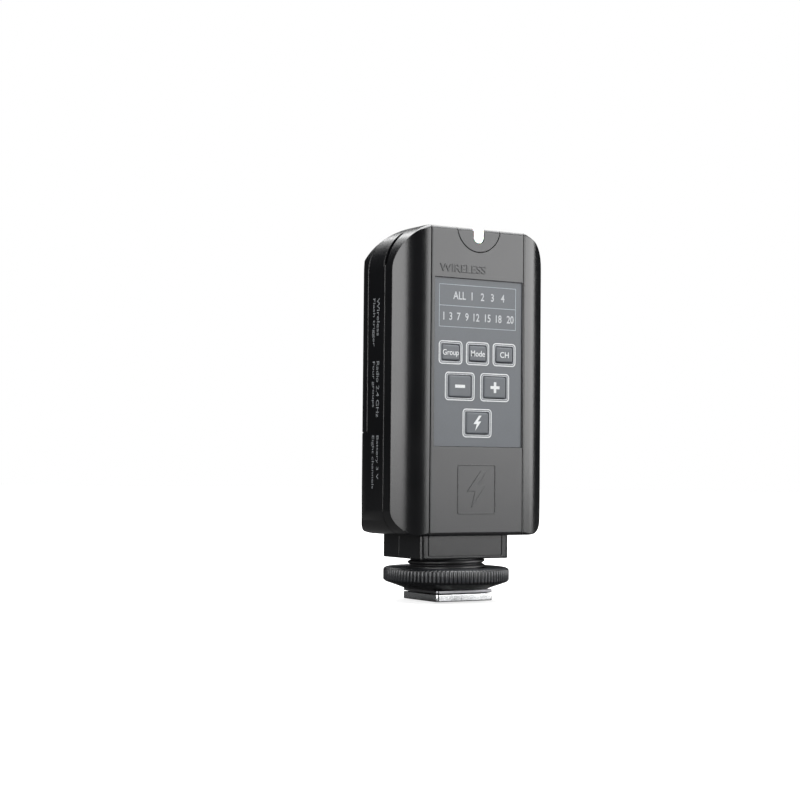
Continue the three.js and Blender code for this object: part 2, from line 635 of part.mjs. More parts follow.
function footScrewPlaces() {
  const { x, y } = FOOT_SCREWS;
  return [-1, 1].flatMap((sideX) => [-1, 1].map((sideY) => [sideX * x, FOOT_Y + sideY * y]));
}

function footSpacer() {
  const half = SPACER.half;
  const long = SPACER.halfLength;
  const shape = roundedRect(-half, half, FOOT_Y - long, FOOT_Y + long, 1.2);
  const holes = footScrewPlaces().map(([x, y]) => cylinder.z(x, y, FOOT_SCREWS.shank + 0.06, 0, FAR, 12));
  return extrude.z(shape, FOOT.thickness, SPACER.top, 3)
    .subtract(join(cylinder.z(0, FOOT_Y, CONTACT.hole, 0, FAR, 24), ...holes));
}

function shoeFoot() {
  const outside = roundedRect(-FOOT.half, FOOT.half, FOOT.front, FOOT.back, FOOT.corner);
  const plate = extrude.z(outside, 0, FOOT.thickness, 3);
  const sinks = footScrewPlaces().map(([x, y]) =>
    join(
      placedCylinder(FOOT_SCREWS.shank + 0.06, FOOT_SCREWS.head + 0.35, 1.3, 16, "x", [x, y, 0.6]),
      cylinder.z(x, y, FOOT_SCREWS.shank + 0.06, -1, FAR, 12),
    ),
  );
  return plate.subtract(join(cylinder.z(0, FOOT_Y, CONTACT.hole, -1, FAR, 24), ...sinks));
}

function clampPlate() {
  const outside = roundedRect(-FOOT.half, FOOT.half, FOOT.front, FOOT.back, FOOT.corner);
  const window = roundedRect(
    -CLAMP.windowHalf,
    CLAMP.windowHalf,
    FOOT_Y - CLAMP.windowHalfLength,
    FOOT_Y + CLAMP.windowHalfLength,
    1.2,
  );
  return extrude.z(outside, CLAMP.bottom, CLAMP.top, 3).subtract(extrude.z(window, 0, FAR, 3));
}

function lockRing() {
  const cone = lathe(
    [
      [RING.bore, RING.bottom],
      [RING.coneRadius, RING.bottom],
      [RING.radius - 0.6, RING.knurlBottom],
      [RING.radius - 0.6, RING.top],
      [RING.bore, RING.top],
      [RING.bore, RING.bottom],
    ],
    40,
  );
  const star = new THREE.Shape();
  for (let rib = 0; rib < KNURL.ribs * 2; rib += 1) {
    const angle = (rib / KNURL.ribs) * Math.PI;
    const radius = RING.radius - (rib % 2) * KNURL.depth;
    const place = [radius * Math.cos(angle), radius * Math.sin(angle)];
    if (rib === 0) star.moveTo(...place);
    else star.lineTo(...place);
  }
  const band = extrude.z(star, RING.knurlBottom, RING.top - 0.35, 1);
  const rim = placedCylinder(RING.radius - 0.75, RING.radius - 0.4, 0.36, 40, "x", [0, 0, RING.top - 0.18]);
  const bore = cylinder.z(0, 0, RING.bore, 0, FAR, 40);
  return cone.add(join(band, rim).subtract(bore));
}

function contactInsulator() {
  const sleeve = cylinder.z(0, FOOT_Y, CONTACT.sleeve, 0, 8.1, 24);
  const cup = cylinder.z(0, FOOT_Y, CONTACT.cup, 3, FAR, 24);
  const hole = cylinder.z(0, FOOT_Y, CONTACT.radius + 0.1, -1, FAR, 20);
  return sleeve.subtract(join(cup, hole));
}

function contactPin() {
  const y = FOOT_Y;
  const shaft = cylinder.z(0, y, CONTACT.radius, CONTACT.tip + 0.3, 3.5, 20);
  const tip = placedCylinder(CONTACT.radius, 0.6, 0.3, 20, "x", [0, y, CONTACT.tip + 0.15]);
  const collar = cylinder.z(0, y, CONTACT.collar, 3.05, 3.8, 20);
  return join(shaft, tip, collar);
}

function contactSpring() {
  const turns = 4;
  const steps = 36;
  const points = Array.from({ length: steps + 1 }, (_, i) => {
    const angle = (i / steps) * turns * Math.PI * 2;
    return [1.5 * Math.cos(angle), FOOT_Y + 1.5 * Math.sin(angle), 4.6 + (3.1 * i) / steps];
  });
  return tubeAlong(points, 0.22, steps, 6);
}

function contactCap() {
  const disc = cylinder.z(0, FOOT_Y, CONTACT.sleeve, 8.15, 8.8, 24);
  const tag = box(-0.9, 0.9, FOOT_Y - 0.3, FOOT_Y + 0.3, 8.7, 10.4);
  return join(disc, tag);
}

// The lead leaves the shoe contact, climbs the block and runs out along the hinge axis in the hollow pin.
function shoeLead() {
  const y = HINGE.y;
  const z = HINGE.z;
  const rise = [[0, FOOT_Y, 10.7], [0, FOOT_Y, 14], [0, y - 0.4, 18.5], [3, y, z - 1]];
  const alongHinge = [7, 12, 17].map((x) => [x, y, z]);
  return tubeAlong([...rise, ...alongHinge], LEAD_RADIUS, 18, 6);
}

function boardLead() {
  const outOfPin = [[17.7, HINGE.y, HINGE.z], [19.2, -1, 24.5], [19, -5.4, 29]];
  const behindBoard = [[17, -8.1, 32.4], [13.5, -8.1, 36.5], [10, -8.1, 41]];
  return tubeAlong([...outOfPin, ...behindBoard], LEAD_RADIUS, 18, 6);
}

// ---- the assembly -------------------------------------------------------------------------------

const FINISH = {
  satinPlastic: { color: 0x17181a, roughness: 0.42, metalness: 0 },
  panelPlastic: { color: 0x1b1c1f, roughness: 0.38, metalness: 0 },
  labelFilm: { color: 0x3b4046, roughness: 0.5, metalness: 0 },
  keyFilm: { color: 0x42474d, roughness: 0.5, metalness: 0 },
  rubber: { color: 0x2a2a2c, roughness: 0.85, metalness: 0 },
  clearPlastic: { color: 0xf2f4f5, roughness: 0.2, metalness: 0 },
  board: { color: 0x1d5a34, roughness: 0.55, metalness: 0 },
  chip: { color: 0x121214, roughness: 0.5, metalness: 0 },
  tin: { color: 0xb9bcc0, roughness: 0.3, metalness: 1 },
  steel: { color: 0xc9cbce, roughness: 0.24, metalness: 1 },
  darkSteel: { color: 0x4c4e52, roughness: 0.35, metalness: 1 },
  brass: { color: 0xc8a253, roughness: 0.3, metalness: 1 },
  lead: { color: 0x8d1f1c, roughness: 0.6, metalness: 0 },
};

const trigger = new THREE.Group();
const materials = {};

function add(name, shape, finish) {
  materials[finish] ??= new THREE.MeshStandardMaterial(FINISH[finish]);
  const mesh = new THREE.Mesh(geometryOf(shape), materials[finish]);
  mesh.name = name;
  trigger.add(mesh);
}

add("front_shell", frontShell(), "satinPlastic");
add("rear_shell", rearShell(), "satinPlastic");
add("battery_door", batteryDoor(), "satinPlastic");
add("front_panel", frontPanel(), "panelPlastic");
add("keypad_overlay", keypadOverlay(), "labelFilm");
KEYS.forEach((key) => add(key.name, keyCap(key), "keyFilm"));
add("key_mat", keyMat(), "rubber");
add("light_bezel", lightBezel(), "panelPlastic");
add("light_pipe", lightPipe(), "clearPlastic");
add("status_led", box(-1.2, 1.2, -10.15, -8.75, 99.7, 101.2), "clearPlastic");
add("display_diffuser", box(-12.2, 12.2, -14.85, -11.5, 76.1, 86.6), "clearPlastic");
add("led_row_upper", ledRow(84.2, 5), "tin");
add("led_row_lower", ledRow(78.5, 8), "tin");
add("main_circuit_board", circuitBoard(), "board");
add("radio_module", box(-8, 8, -8.8, -6.9, 78, 90), "tin");
add("microcontroller", box(-4.5, 4.5, -8.8, -7.6, 60, 69), "chip");
add("antenna_strip", antennaStrip(), "brass");
add("battery_holder", batteryHolder(), "satinPlastic");
add("coin_cell", coinCell(), "steel");
add("battery_contact_negative", negativeContact(), "tin");
add("battery_contact_positive", positiveContact(), "tin");
add("sync_socket", syncSocket(), "chip");
add("power_switch_body", switchBody(), "tin");
add("power_switch_knob", switchKnob(), "chip");
["low", "high"].forEach((level) => {
  mirrored((side) => {
    const z = level === "low" ? SHELL_SCREWS.lowZ : SHELL_SCREWS.highZ;
    const head = level === "low" ? -1.7 : BAY.floorBack + 1.3;
    const length = level === "low" ? 8.2 : 12.2;
    const end = side < 0 ? "left" : "right";
    const screw = screwY(side * SHELL_SCREWS.x, z, head, 1.8, 0.8, length);
    add(`shell_screw_${level}_${end}`, screw, "darkSteel");
  });
});
mirrored((side) => {
  const screw = screwY(side * BOARD_SCREWS.x, boardScrewZ(side), BOARD.back + 1.3, 1.6, 0.7, 3);
  add(`board_screw_${side > 0 ? "low" : "high"}`, screw, "darkSteel");
});
mirrored((side) => add(`pivot_pin_${side < 0 ? "left" : "right"}`, pivotPin(side), "steel"));
mirrored((side) => add(`friction_washer_${side < 0 ? "left" : "right"}`, frictionWasher(side), "chip"));
add("foot_block_front", blockFront(), "satinPlastic");
add("foot_block_rear", blockRear(), "satinPlastic");
mirrored((side) => {
  const screw = screwY(side * BLOCK_SCREWS.x, BLOCK_SCREWS.z, BLOCK_SCREWS.headBack, 1.8, 0.8, 12);
  add(`block_screw_${side < 0 ? "left" : "right"}`, screw, "darkSteel");
});
add("threaded_neck", threadedNeck(), "satinPlastic");
mirrored((side) => {
  const end = side < 0 ? "left" : "right";
  add(`neck_screw_${end}`, neckScrew(side * NECK_SCREWS.x), "darkSteel");
});
add("foot_spacer", footSpacer(), "satinPlastic");
add("shoe_foot", shoeFoot(), "steel");
footScrewPlaces().forEach(([x, y], i) => add(`foot_screw_${i + 1}`, footScrew(x, y), "darkSteel"));
add("clamp_plate", clampPlate(), "steel");
add("lock_ring", lockRing(), "satinPlastic");
add("contact_insulator", contactInsulator(), "chip");
add("contact_pin", contactPin(), "brass");
add("contact_spring", contactSpring(), "steel");
add("contact_cap", contactCap(), "brass");
add("shoe_lead", shoeLead(), "lead");
add("board_lead", boardLead(), "lead");

export default trigger;
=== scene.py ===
import math
from types import SimpleNamespace as Sizes

import bmesh
import bpy
from mathutils import Matrix, Vector


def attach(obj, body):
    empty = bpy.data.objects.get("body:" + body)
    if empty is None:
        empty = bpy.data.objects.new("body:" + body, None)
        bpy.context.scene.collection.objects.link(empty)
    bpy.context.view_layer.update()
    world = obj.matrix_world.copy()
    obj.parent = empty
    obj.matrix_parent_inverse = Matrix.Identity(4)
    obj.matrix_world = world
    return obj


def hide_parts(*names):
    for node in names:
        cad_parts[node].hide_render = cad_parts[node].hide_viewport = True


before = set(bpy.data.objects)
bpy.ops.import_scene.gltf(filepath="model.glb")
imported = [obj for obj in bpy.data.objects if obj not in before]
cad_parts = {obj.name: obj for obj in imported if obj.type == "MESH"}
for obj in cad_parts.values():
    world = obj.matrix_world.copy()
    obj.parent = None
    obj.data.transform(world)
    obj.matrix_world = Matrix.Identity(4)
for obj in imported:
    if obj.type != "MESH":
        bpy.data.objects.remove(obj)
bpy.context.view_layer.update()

PI = math.pi
MM = 0.001

# ---- dimensions, as in the CAD model (millimetres) ----

SKIN = 0.02  # the mouldings are drawn in by this, so that ink on them stays inside the CAD box
BODY = Sizes(half=24.9, bottom=18.3, top=103.9, front=-15.5, wall=1.8, high=13.3, low=7)
SHOULDER = Sizes(x=15.4, y=-4.1, radius=11.4)
REAR = Sizes(y=2.25, across_x=13, across_y=11.3)
CROWN = Sizes(y=-7, front_across=20, front_rise=10, back_across=18, back_rise=32)
BACK = Sizes(lower=11.3, belly=13.3, step_low=40.5, step_high=46.4, edge=2.5)
EDGE_ROUND = 1.2
SEAM = -6.6
CAVITY_FRONT = -12.4
PANEL = Sizes(half=15.2, back=-13.9, slot_half=15.4, slot_floor=-13.8)
LABEL = Sizes(left=-14.3, right=14.9, low=42.7, high=89.05, front=-15.2, back=-14.9)
DISPLAY = Sizes(half=12.4, low=75.9, high=86.8)
LIGHT = Sizes(half=1.65, low=99, disc=7.15, z=103.7, disc_back=-14.4, back=-10.2, gap=0.12)
KEYPAD_WINDOW = Sizes(half=12.9, low=45, high=72)
KEY_FRONT = -15.35
CAP = Sizes(back=-13.2, flange_front=-13.8, flange=0.6, shoulder=-15, crown=0.3, roll=0.32, stem_end=-12.38)
KEYS = {
    "group": (-8.9, 68.5, 5.7, 4.35),
    "mode": (0, 68.5, 5.7, 4.35),
    "channel": (8.9, 68.5, 5.7, 4.35),
    "minus": (-5.8, 59.3, 7.4, 6),
    "plus": (5.8, 59.3, 7.4, 6),
    "test": (0, 49.3, 7.4, 6),
}
KEY_FRAMES = {"group": (7.7, 6.4), "minus": (9.7, 7.8), "test": (9.6, 7.9)}
DOOR = Sizes(y=2.25, z=46.5, gap=0.1)
RIDGES = Sizes(count=6, z=52, pitch=1.9, half=8.5, taper=0.55, thick=0.42, depth=0.45)
ARROW = Sizes(half=2.1, low=66, high=69, depth=0.3)
BAY = Sizes(front=0.5, back=2.1, shelf=44.9)
CELL = Sizes(radius=12.25, thickness=3, z=64.5, back=8.1)
SHELL_SCREWS = Sizes(x=19.6, low=38, high=89)
SHELL_BOSS = Sizes(radius=2.6, pilot=1.15, sink=2, sink_front=-3)
HINGE = Sizes(y=0.4, z=22.9, bore=2.1)
BLOCK = Sizes(half=14.6, radius=10.3, bottom=11.7, wall=1.7, split=1.6, corner=1)
BLOCK_EDGE = Sizes(foot=0.45, side=0.5)
PIVOT_BOSS = Sizes(radius=4.6, inner=9, outer=13)
PIVOT_SINK = Sizes(radius=4.75, inner=14)
NECK_SCREWS = Sizes(x=8, hole=0.95)
BLOCK_SCREWS = Sizes(x=9.6, z=17.1)
NOTCH = Sizes(half=15, radius=11, front=-12.4, wall=1.4, corner=2)
FOOT = Sizes(half=9.3, front=-9.9, back=8.1, thickness=2, corner=0.8)
FOOT_Y = -0.9
FOOT_SCREWS = Sizes(x=4.2, y=5)
SPACER_TOP = 5.6
CLAMP = Sizes(low=2.25, high=3.1, half=6.4, half_length=7.2)
RING = Sizes(radius=17.75, bore=11.15, low=3.15, cone=11.9, high=9.1)
RIBS = Sizes(count=96, depth=0.42, shape=0.55)
THREAD = Sizes(major=10.9, root=10, pitch=1.5, flank=1.35, fade_low=0.5, fade_high=0.35)
CONTACT = Sizes(radius=1, sleeve=3.1, hole=3.2, tip=-0.45)
SOCKET = Sizes(y=-2.2, z=58, bush=2.7, bore=1.8)
SWITCH = Sizes(y=-2.2, z=77, window=1.5, knob=1.3, knob_half=1.9, travel=3, gap=0.3)
STRAP = Sizes(x=-11.6, z=90.6, inner=10.9, outer=14.8, start=PI - 0.95, end=PI - 0.12)
FAR = 60  # past everything, for cutters that go right through

# ---- mesh building ----


def arc(cx, cy, radius, start, end, steps=32, radius_y=None):
    radius_y = radius if radius_y is None else radius_y
    angles = [start + (end - start) * i / steps for i in range(steps + 1)]
    return [(cx + radius * math.cos(a), cy + radius_y * math.sin(a)) for a in angles]


def rounded_rect(x0, x1, y0, y1, low, high=None, steps=10):
    high = low if high is None else high
    low = max(low, 0.01)
    high = max(high, 0.01)
    return (
        arc(x1 - low, y0 + low, low, -PI / 2, 0, steps)
        + arc(x1 - high, y1 - high, high, 0, PI / 2, steps)
        + arc(x0 + high, y1 - high, high, PI / 2, PI, steps)
        + arc(x0 + low, y0 + low, low, PI, PI * 1.5, steps)
    )


def at(axis, point, level):
    a, b = point
    return {"z": (a, b, level), "y": (a, level, b), "x": (level, a, b)}[axis]


def both_sides(points):
    """The points, then their mirror image back to the start."""
    return points + [(-x, level) for x, level in reversed(points)]


def rectangle(x0, x1, y0, y1):
    return [(x0, y0), (x1, y0), (x1, y1), (x0, y1)]


def plus_sign(x, y, arm, half):
    return [
        (x - half, y - arm), (x + half, y - arm), (x + half, y - half), (x + arm, y - half),
        (x + arm, y + half), (x + half, y + half), (x + half, y + arm), (x - half, y + arm),
        (x - half, y + half), (x - arm, y + half), (x - arm, y - half), (x - half, y - half),
    ]


def in_scene(name, data):
    holder = bpy.data.objects.new(name, data)
    bpy.context.scene.collection.objects.link(holder)
    return holder


def from_bmesh(name, bm):
    mesh = bpy.data.meshes.new(name)
    bm.to_mesh(mesh)
    bm.free()
    return in_scene(name, mesh)


def evaluated(piece):
    """The mesh that a piece's modifiers, or its text, come to."""
    graph = bpy.context.evaluated_depsgraph_get()
    return bpy.data.meshes.new_from_object(piece.evaluated_get(graph))


def loft(loops, closed=False):
    """A skin through loops of equal count, capped at both ends, or joined end to end when closed."""
    bm = bmesh.new()
    rows = [[bm.verts.new(p) for p in loop] for loop in loops]
    count = len(rows[0])
    pairs = list(zip(rows, rows[1:]))
    if closed:
        pairs.append((rows[-1], rows[0]))
    for low, high in pairs:
        for i in range(count):
            j = (i + 1) % count
            bm.faces.new((low[i], low[j], high[j], high[i]))
    if not closed:
        bm.faces.new(rows[0])
        bm.faces.new(list(reversed(rows[-1])))
    bmesh.ops.remove_doubles(bm, verts=bm.verts, dist=1e-5)
    bmesh.ops.recalc_face_normals(bm, faces=bm.faces)
    return from_bmesh("piece", bm)


def prism(points, axis, low, high):
    return loft([[at(axis, p, low) for p in points], [at(axis, p, high) for p in points]])


def rounded_prism(outline, axis, low, high, round_low, round_high, steps=5):
    """outline(inset) gives the section; both ends are rounded over."""
    loops = []
    for radius, end, sign in ((round_low, low, 1), (round_high, high, -1)):
        if radius <= 0:
            part = [[at(axis, p, end) for p in outline(0)]]
        else:
            part = []
            for i in range(steps + 1):
                t = PI / 2 * i / steps
                level = end + sign * radius * (1 - math.cos(t))
                part.append([at(axis, p, level) for p in outline(radius * (1 - math.sin(t)))])
        loops += part if sign > 0 else list(reversed(part))
    return loft(loops)


def box(x0, x1, y0, y1, z0, z1):
    return prism(rectangle(x0, x1, y0, y1), "z", z0, z1)


def cylinder(axis, a, b, radius, low, high, sides=48):
    return prism(arc(a, b, radius, 0, PI * 2, sides)[:-1], axis, low, high)


def lathe(profile, sides=64, centre=(0, 0), axis="z"):
    """Turns a profile of (radius, level). It closes on itself unless it starts and ends on the axis."""
    loops = []
    for radius, level in profile:
        ring = arc(centre[0], centre[1], max(radius, 1e-4), 0, PI * 2, sides)[:-1]
        loops.append([at(axis, p, level) for p in ring])
    return loft(loops, closed=profile[0][0] > 0.001)


def remove(piece):
    bpy.data.objects.remove(piece)


def combine(piece, other, operation):
    """A boolean that uses up the other piece. The exact solver is the second choice."""
    for solver in ("MANIFOLD", "EXACT"):
        modifier = piece.modifiers.new("combine", "BOOLEAN")
        modifier.operation = operation
        modifier.solver = solver
        modifier.object = other
        mesh = evaluated(piece)
        piece.modifiers.clear()
        if len(mesh.polygons):
            piece.data = mesh
            break
    remove(other)
    return piece


def cut(piece, *others):
    for other in others:
        combine(piece, other, "DIFFERENCE")
    return piece


def join(piece, *others):
    for other in others:
        combine(piece, other, "UNION")
    return piece


def keep(piece, *others):
    for other in others:
        combine(piece, other, "INTERSECT")
    return piece


def copy_of(piece):
    twin = piece.copy()
    twin.data = piece.data.copy()
    bpy.context.scene.collection.objects.link(twin)
    return twin


def soften(piece, width, segments):
    """Rolls the sharp edges."""
    modifier = piece.modifiers.new("soften", "BEVEL")
    modifier.width = width
    modifier.segments = segments
    modifier.limit_method = "ANGLE"
    modifier.angle_limit = math.radians(40)
    modifier.use_clamp_overlap = True
    mesh = evaluated(piece)
    piece.modifiers.clear()
    piece.data = mesh
    return piece


def place(piece, name, body, material, stands_for=(), angle=32):
    """Names a finished piece, takes it from millimetres to metres and fixes it to its CAD body."""
    piece.name = name
    piece.data.name = name
    piece.data.transform(Matrix.Diagonal((MM, MM, MM, 1)))
    piece.data.materials.clear()
    piece.data.materials.append(material)
    piece.data.shade_smooth()
    piece.data.set_sharp_from_angle(angle=math.radians(angle))
    weighted = piece.modifiers.new("weighted_normals", "WEIGHTED_NORMAL")
    weighted.keep_sharp = True
    weighted.weight = 80
    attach(piece, body)
    if stands_for:
        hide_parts(*stands_for)
    return piece


# ---- materials ----


class Nodes:
    """A short way to write a node material that works in the object's own coordinates, in metres."""

    def __init__(self, name):
        self.material = bpy.data.materials.new(name)
        self.material.use_nodes = True
        self.tree = self.material.node_tree
        self.shader = self.tree.nodes["Principled BSDF"]
        self.place = self.add("ShaderNodeTexCoord").outputs["Object"]

    def add(self, kind, inputs=None, **values):
        node = self.tree.nodes.new(kind)
        for key, value in values.items():
            setattr(node, key, value)
        for key, value in (inputs or {}).items():
            node.inputs[key].default_value = value
        return node

    def link(self, source, target):
        self.tree.links.new(source, target)

    def stretched(self, x, y, z):
        mapping = self.add("ShaderNodeMapping", {"Scale": (x, y, z)})
        self.link(self.place, mapping.inputs["Vector"])
        return mapping.outputs["Vector"]

    def noise(self, scale, detail=3.0, roughness=0.55, vector=None):
        inputs = {"Scale": scale, "Detail": detail, "Roughness": roughness}
        node = self.add("ShaderNodeTexNoise", inputs)
        self.link(vector or self.place, node.inputs["Vector"])
        return node.outputs["Fac"]

    def cells(self, scale, feature="F1", vector=None):
        node = self.add("ShaderNodeTexVoronoi", {"Scale": scale}, feature=feature)
        self.link(vector or self.place, node.inputs["Vector"])
        return node.outputs["Distance"]

    def spread(self, value, low, high, to_low, to_high):
        inputs = {"From Min": low, "From Max": high, "To Min": to_low, "To Max": to_high}
        node = self.add("ShaderNodeMapRange", inputs)
        self.link(value, node.inputs["Value"])
        return node.outputs["Result"]

    def sum(self, a, b, operation="ADD"):
        node = self.add("ShaderNodeMath", operation=operation)
        self.link(a, node.inputs[0])
        if isinstance(b, (int, float)):
            node.inputs[1].default_value = b
        else:
            self.link(b, node.inputs[1])
        return node.outputs[0]

    def blend(self, factor, a, b):
        node = self.add("ShaderNodeMix", data_type="RGBA")
        self.link(factor, node.inputs["Factor"])
        for socket, colour in ((node.inputs[6], a), (node.inputs[7], b)):
            if isinstance(colour, tuple):
                socket.default_value = (*colour, 1)
            else:
                self.link(colour, socket)
        return node.outputs[2]

    def edge_normal(self, radius):
        return self.add("ShaderNodeBevel", {"Radius": radius}, samples=4).outputs["Normal"]

    def wear(self, normal):
        """0 on open faces, rising to 1 along edges, where the rounded normal leaves the true one."""
        geometry = self.add("ShaderNodeNewGeometry")
        dot = self.add("ShaderNodeVectorMath", operation="DOT_PRODUCT")
        self.link(normal, dot.inputs[0])
        self.link(geometry.outputs["Normal"], dot.inputs[1])
        return self.spread(dot.outputs["Value"], 0.98, 0.7, 0, 1)

    def painted_rib_shade_mask(self, band, foot, crest):
        """The mask of painted shade between the ribs round the Z axis: 1 at their foot, 0 at their crests and
        everywhere inside the band.
        """
        flat = self.add("ShaderNodeVectorMath", operation="LENGTH")
        self.link(self.stretched(1, 1, 0), flat.inputs[0])
        radius = flat.outputs["Value"]
        outside = self.spread(radius, (band - 0.02) * MM, (band + 0.02) * MM, 0, 1)
        return self.sum(outside, self.spread(radius, foot * MM, crest * MM, 1, 0), "MULTIPLY")

    def bump(self, height, distance, strength, normal=None):
        node = self.add("ShaderNodeBump", {"Strength": strength, "Distance": distance})
        self.link(height, node.inputs["Height"])
        if normal is not None:
            self.link(normal, node.inputs["Normal"])
        return node.outputs["Normal"]

    def finish(self, colour, roughness, normal, **constants):
        self.link(colour, self.shader.inputs["Base Color"])
        self.link(roughness, self.shader.inputs["Roughness"])
        self.link(normal, self.shader.inputs["Normal"])
        for key, value in constants.items():
            self.shader.inputs[key.replace("_", " ")].default_value = value
        return self.material


def moulded(name, dark, light, rough, grain=5200, painted_rib_shade=None):
    """Satin moulded plastic: spark-eroded grain, faint clouds, a slight polish along handled edges and, where
    ribs are given, painted shade at their foot.
    """
    n = Nodes(name)
    clouds = n.noise(45, 4)
    specks = n.noise(grain, 2, 0.6)
    pits = n.cells(grain * 0.8)
    rounded = n.edge_normal(0.00022)
    wear = n.wear(rounded)
    patchy = n.sum(wear, n.spread(n.noise(420, 5), 0.42, 0.62, 0, 1), "MULTIPLY")
    base = n.blend(n.spread(clouds, 0.3, 0.7, 0, 1), dark, light)
    base = n.blend(n.spread(specks, 0.35, 0.75, 0, 0.35), base, tuple(min(1, c * 1.5) for c in light))
    worn = tuple(min(1, c * 2.2 + 0.006) for c in light)
    colour = n.blend(n.sum(patchy, 0.55, "MULTIPLY"), base, worn)
    # Painted shade: at the foot of the ribs the colour goes nearly black, standing in for the shade that
    # falls between them.
    if painted_rib_shade:
        colour = n.blend(n.painted_rib_shade_mask(*painted_rib_shade), colour, tuple(c * 0.12 for c in dark))
    rough_value = n.spread(n.sum(clouds, n.sum(specks, 0.5, "MULTIPLY")), 0.5, 1.0, *rough)
    rough_value = n.sum(rough_value, n.sum(patchy, 0.1, "MULTIPLY"), "SUBTRACT")
    normal = n.bump(n.sum(specks, pits), 0.000012, 0.55, rounded)
    return n.finish(colour, rough_value, normal, IOR=1.5)


def printed_film(name, dark, light):
    """Screen-printed polyester: a fine even tooth, with a slight mottling of the ink."""
    n = Nodes(name)
    tooth = n.noise(7800, 1, 0.5)
    clouds = n.noise(90, 5, 0.6)
    smears = n.noise(25, 3, 0.5, n.stretched(1, 1, 0.3))
    colour = n.blend(n.spread(clouds, 0.3, 0.7, 0, 1), dark, light)
    colour = n.blend(n.spread(tooth, 0.4, 0.7, 0, 0.3), colour, tuple(c * 1.35 for c in light))
    rough_value = n.spread(n.sum(clouds, smears), 0.7, 1.3, 0.44, 0.54)
    return n.finish(colour, rough_value, n.bump(tooth, 0.000008, 0.5, n.edge_normal(0.00012)), IOR=1.5)


def ink(name, dark, light):
    """Screen ink: nearly flat, with pinholes and a thin, uneven lay."""
    n = Nodes(name)
    lay = n.noise(2600, 3)
    holes = n.spread(n.cells(3000), 0.02, 0.12, 0, 1)
    colour = n.blend(n.sum(n.spread(lay, 0.3, 0.65, 0, 1), holes, "MULTIPLY"), dark, light)
    return n.finish(colour, n.spread(lay, 0.3, 0.7, 0.45, 0.6), n.bump(lay, 0.000006, 0.5))


def metal(name, dark, light, rough, grain, tint=None):
    """Ground and plated metal: fine lines along the grind, hairline scratches and dull patches."""
    n = Nodes(name)
    lines = n.noise(900, 4, 0.6, n.stretched(*grain))
    patches = n.noise(130, 4)
    hairs = n.spread(n.cells(260, "DISTANCE_TO_EDGE", n.stretched(1, 0.15, 1)), 0.0, 0.012, 1, 0)
    hairs = n.sum(hairs, n.spread(n.noise(300, 2), 0.5, 0.6, 0, 0.5), "MULTIPLY")
    colour = n.blend(n.spread(lines, 0.3, 0.7, 0, 1), dark, light)
    colour = n.blend(n.spread(patches, 0.55, 0.8, 0, 0.5), colour, tint or dark)
    rough_value = n.sum(n.spread(n.sum(lines, patches), 0.7, 1.3, *rough), n.sum(hairs, 0.2, "MULTIPLY"))
    normal = n.bump(n.sum(lines, hairs, "SUBTRACT"), 0.000004, 0.6, n.edge_normal(0.00015))
    return n.finish(colour, rough_value, normal, Metallic=1.0)


def clear_acrylic(name):
    n = Nodes(name)
    frost = n.noise(3800, 3)
    colour = n.blend(n.spread(n.noise(140, 3), 0.3, 0.7, 0, 1), (0.86, 0.87, 0.88), (0.95, 0.955, 0.96))
    normal = n.bump(frost, 0.000008, 0.5, n.edge_normal(0.0002))
    return n.finish(
        colour, n.spread(frost, 0.3, 0.7, 0.22, 0.34), normal,
        Subsurface_Weight=0.35, Subsurface_Scale=0.002, Coat_Weight=0.3, Coat_Roughness=0.15,
    )


def solder_mask(name):
    """A green board: copper traces under the mask, with tinned pads."""
    n = Nodes(name)
    traces = n.add("ShaderNodeTexBrick", {
        "Scale": 260, "Mortar Size": 0.012, "Mortar": (0.02, 0.19, 0.07, 1),
        "Color1": (0.006, 0.075, 0.028, 1), "Color2": (0.012, 0.12, 0.045, 1),
    })
    upright = n.add("ShaderNodeMapping", {"Rotation": (PI / 2, 0, 0)})
    n.link(n.place, upright.inputs["Vector"])
    n.link(upright.outputs["Vector"], traces.inputs["Vector"])
    pads = n.spread(n.cells(420), 0.16, 0.2, 1, 0)
    pads = n.sum(pads, n.spread(n.noise(150, 1), 0.58, 0.6, 0, 1), "MULTIPLY")
    colour = n.blend(pads, traces.outputs["Color"], (0.6, 0.56, 0.42))
    height = n.sum(traces.outputs["Fac"], pads)
    return n.finish(colour, n.spread(n.noise(800, 3), 0.3, 0.7, 0.3, 0.45), n.bump(height, 0.00003, 0.5))


def lamp_strip(name):
    n = Nodes(name)
    bands = n.noise(700, 2, 0.4, n.stretched(1, 0.2, 0.2))
    colour = n.blend(n.spread(bands, 0.42, 0.58, 0, 1), (0.62, 0.63, 0.58), (0.86, 0.84, 0.66))
    return n.finish(colour, n.spread(bands, 0.3, 0.7, 0.25, 0.4), n.bump(bands, 0.00001, 0.4))


SATIN = moulded("satin_plastic", (0.0014, 0.0015, 0.0018), (0.0024, 0.0025, 0.0029), rough=(0.19, 0.26))
STRIP = moulded("panel_plastic", (0.0085, 0.0088, 0.0096), (0.0130, 0.0133, 0.0142), rough=(0.30, 0.38))
BLOCK_PLASTIC = moulded(
    "block_plastic", (0.0030, 0.0032, 0.0037), (0.0052, 0.0054, 0.0060), rough=(0.20, 0.28)
)
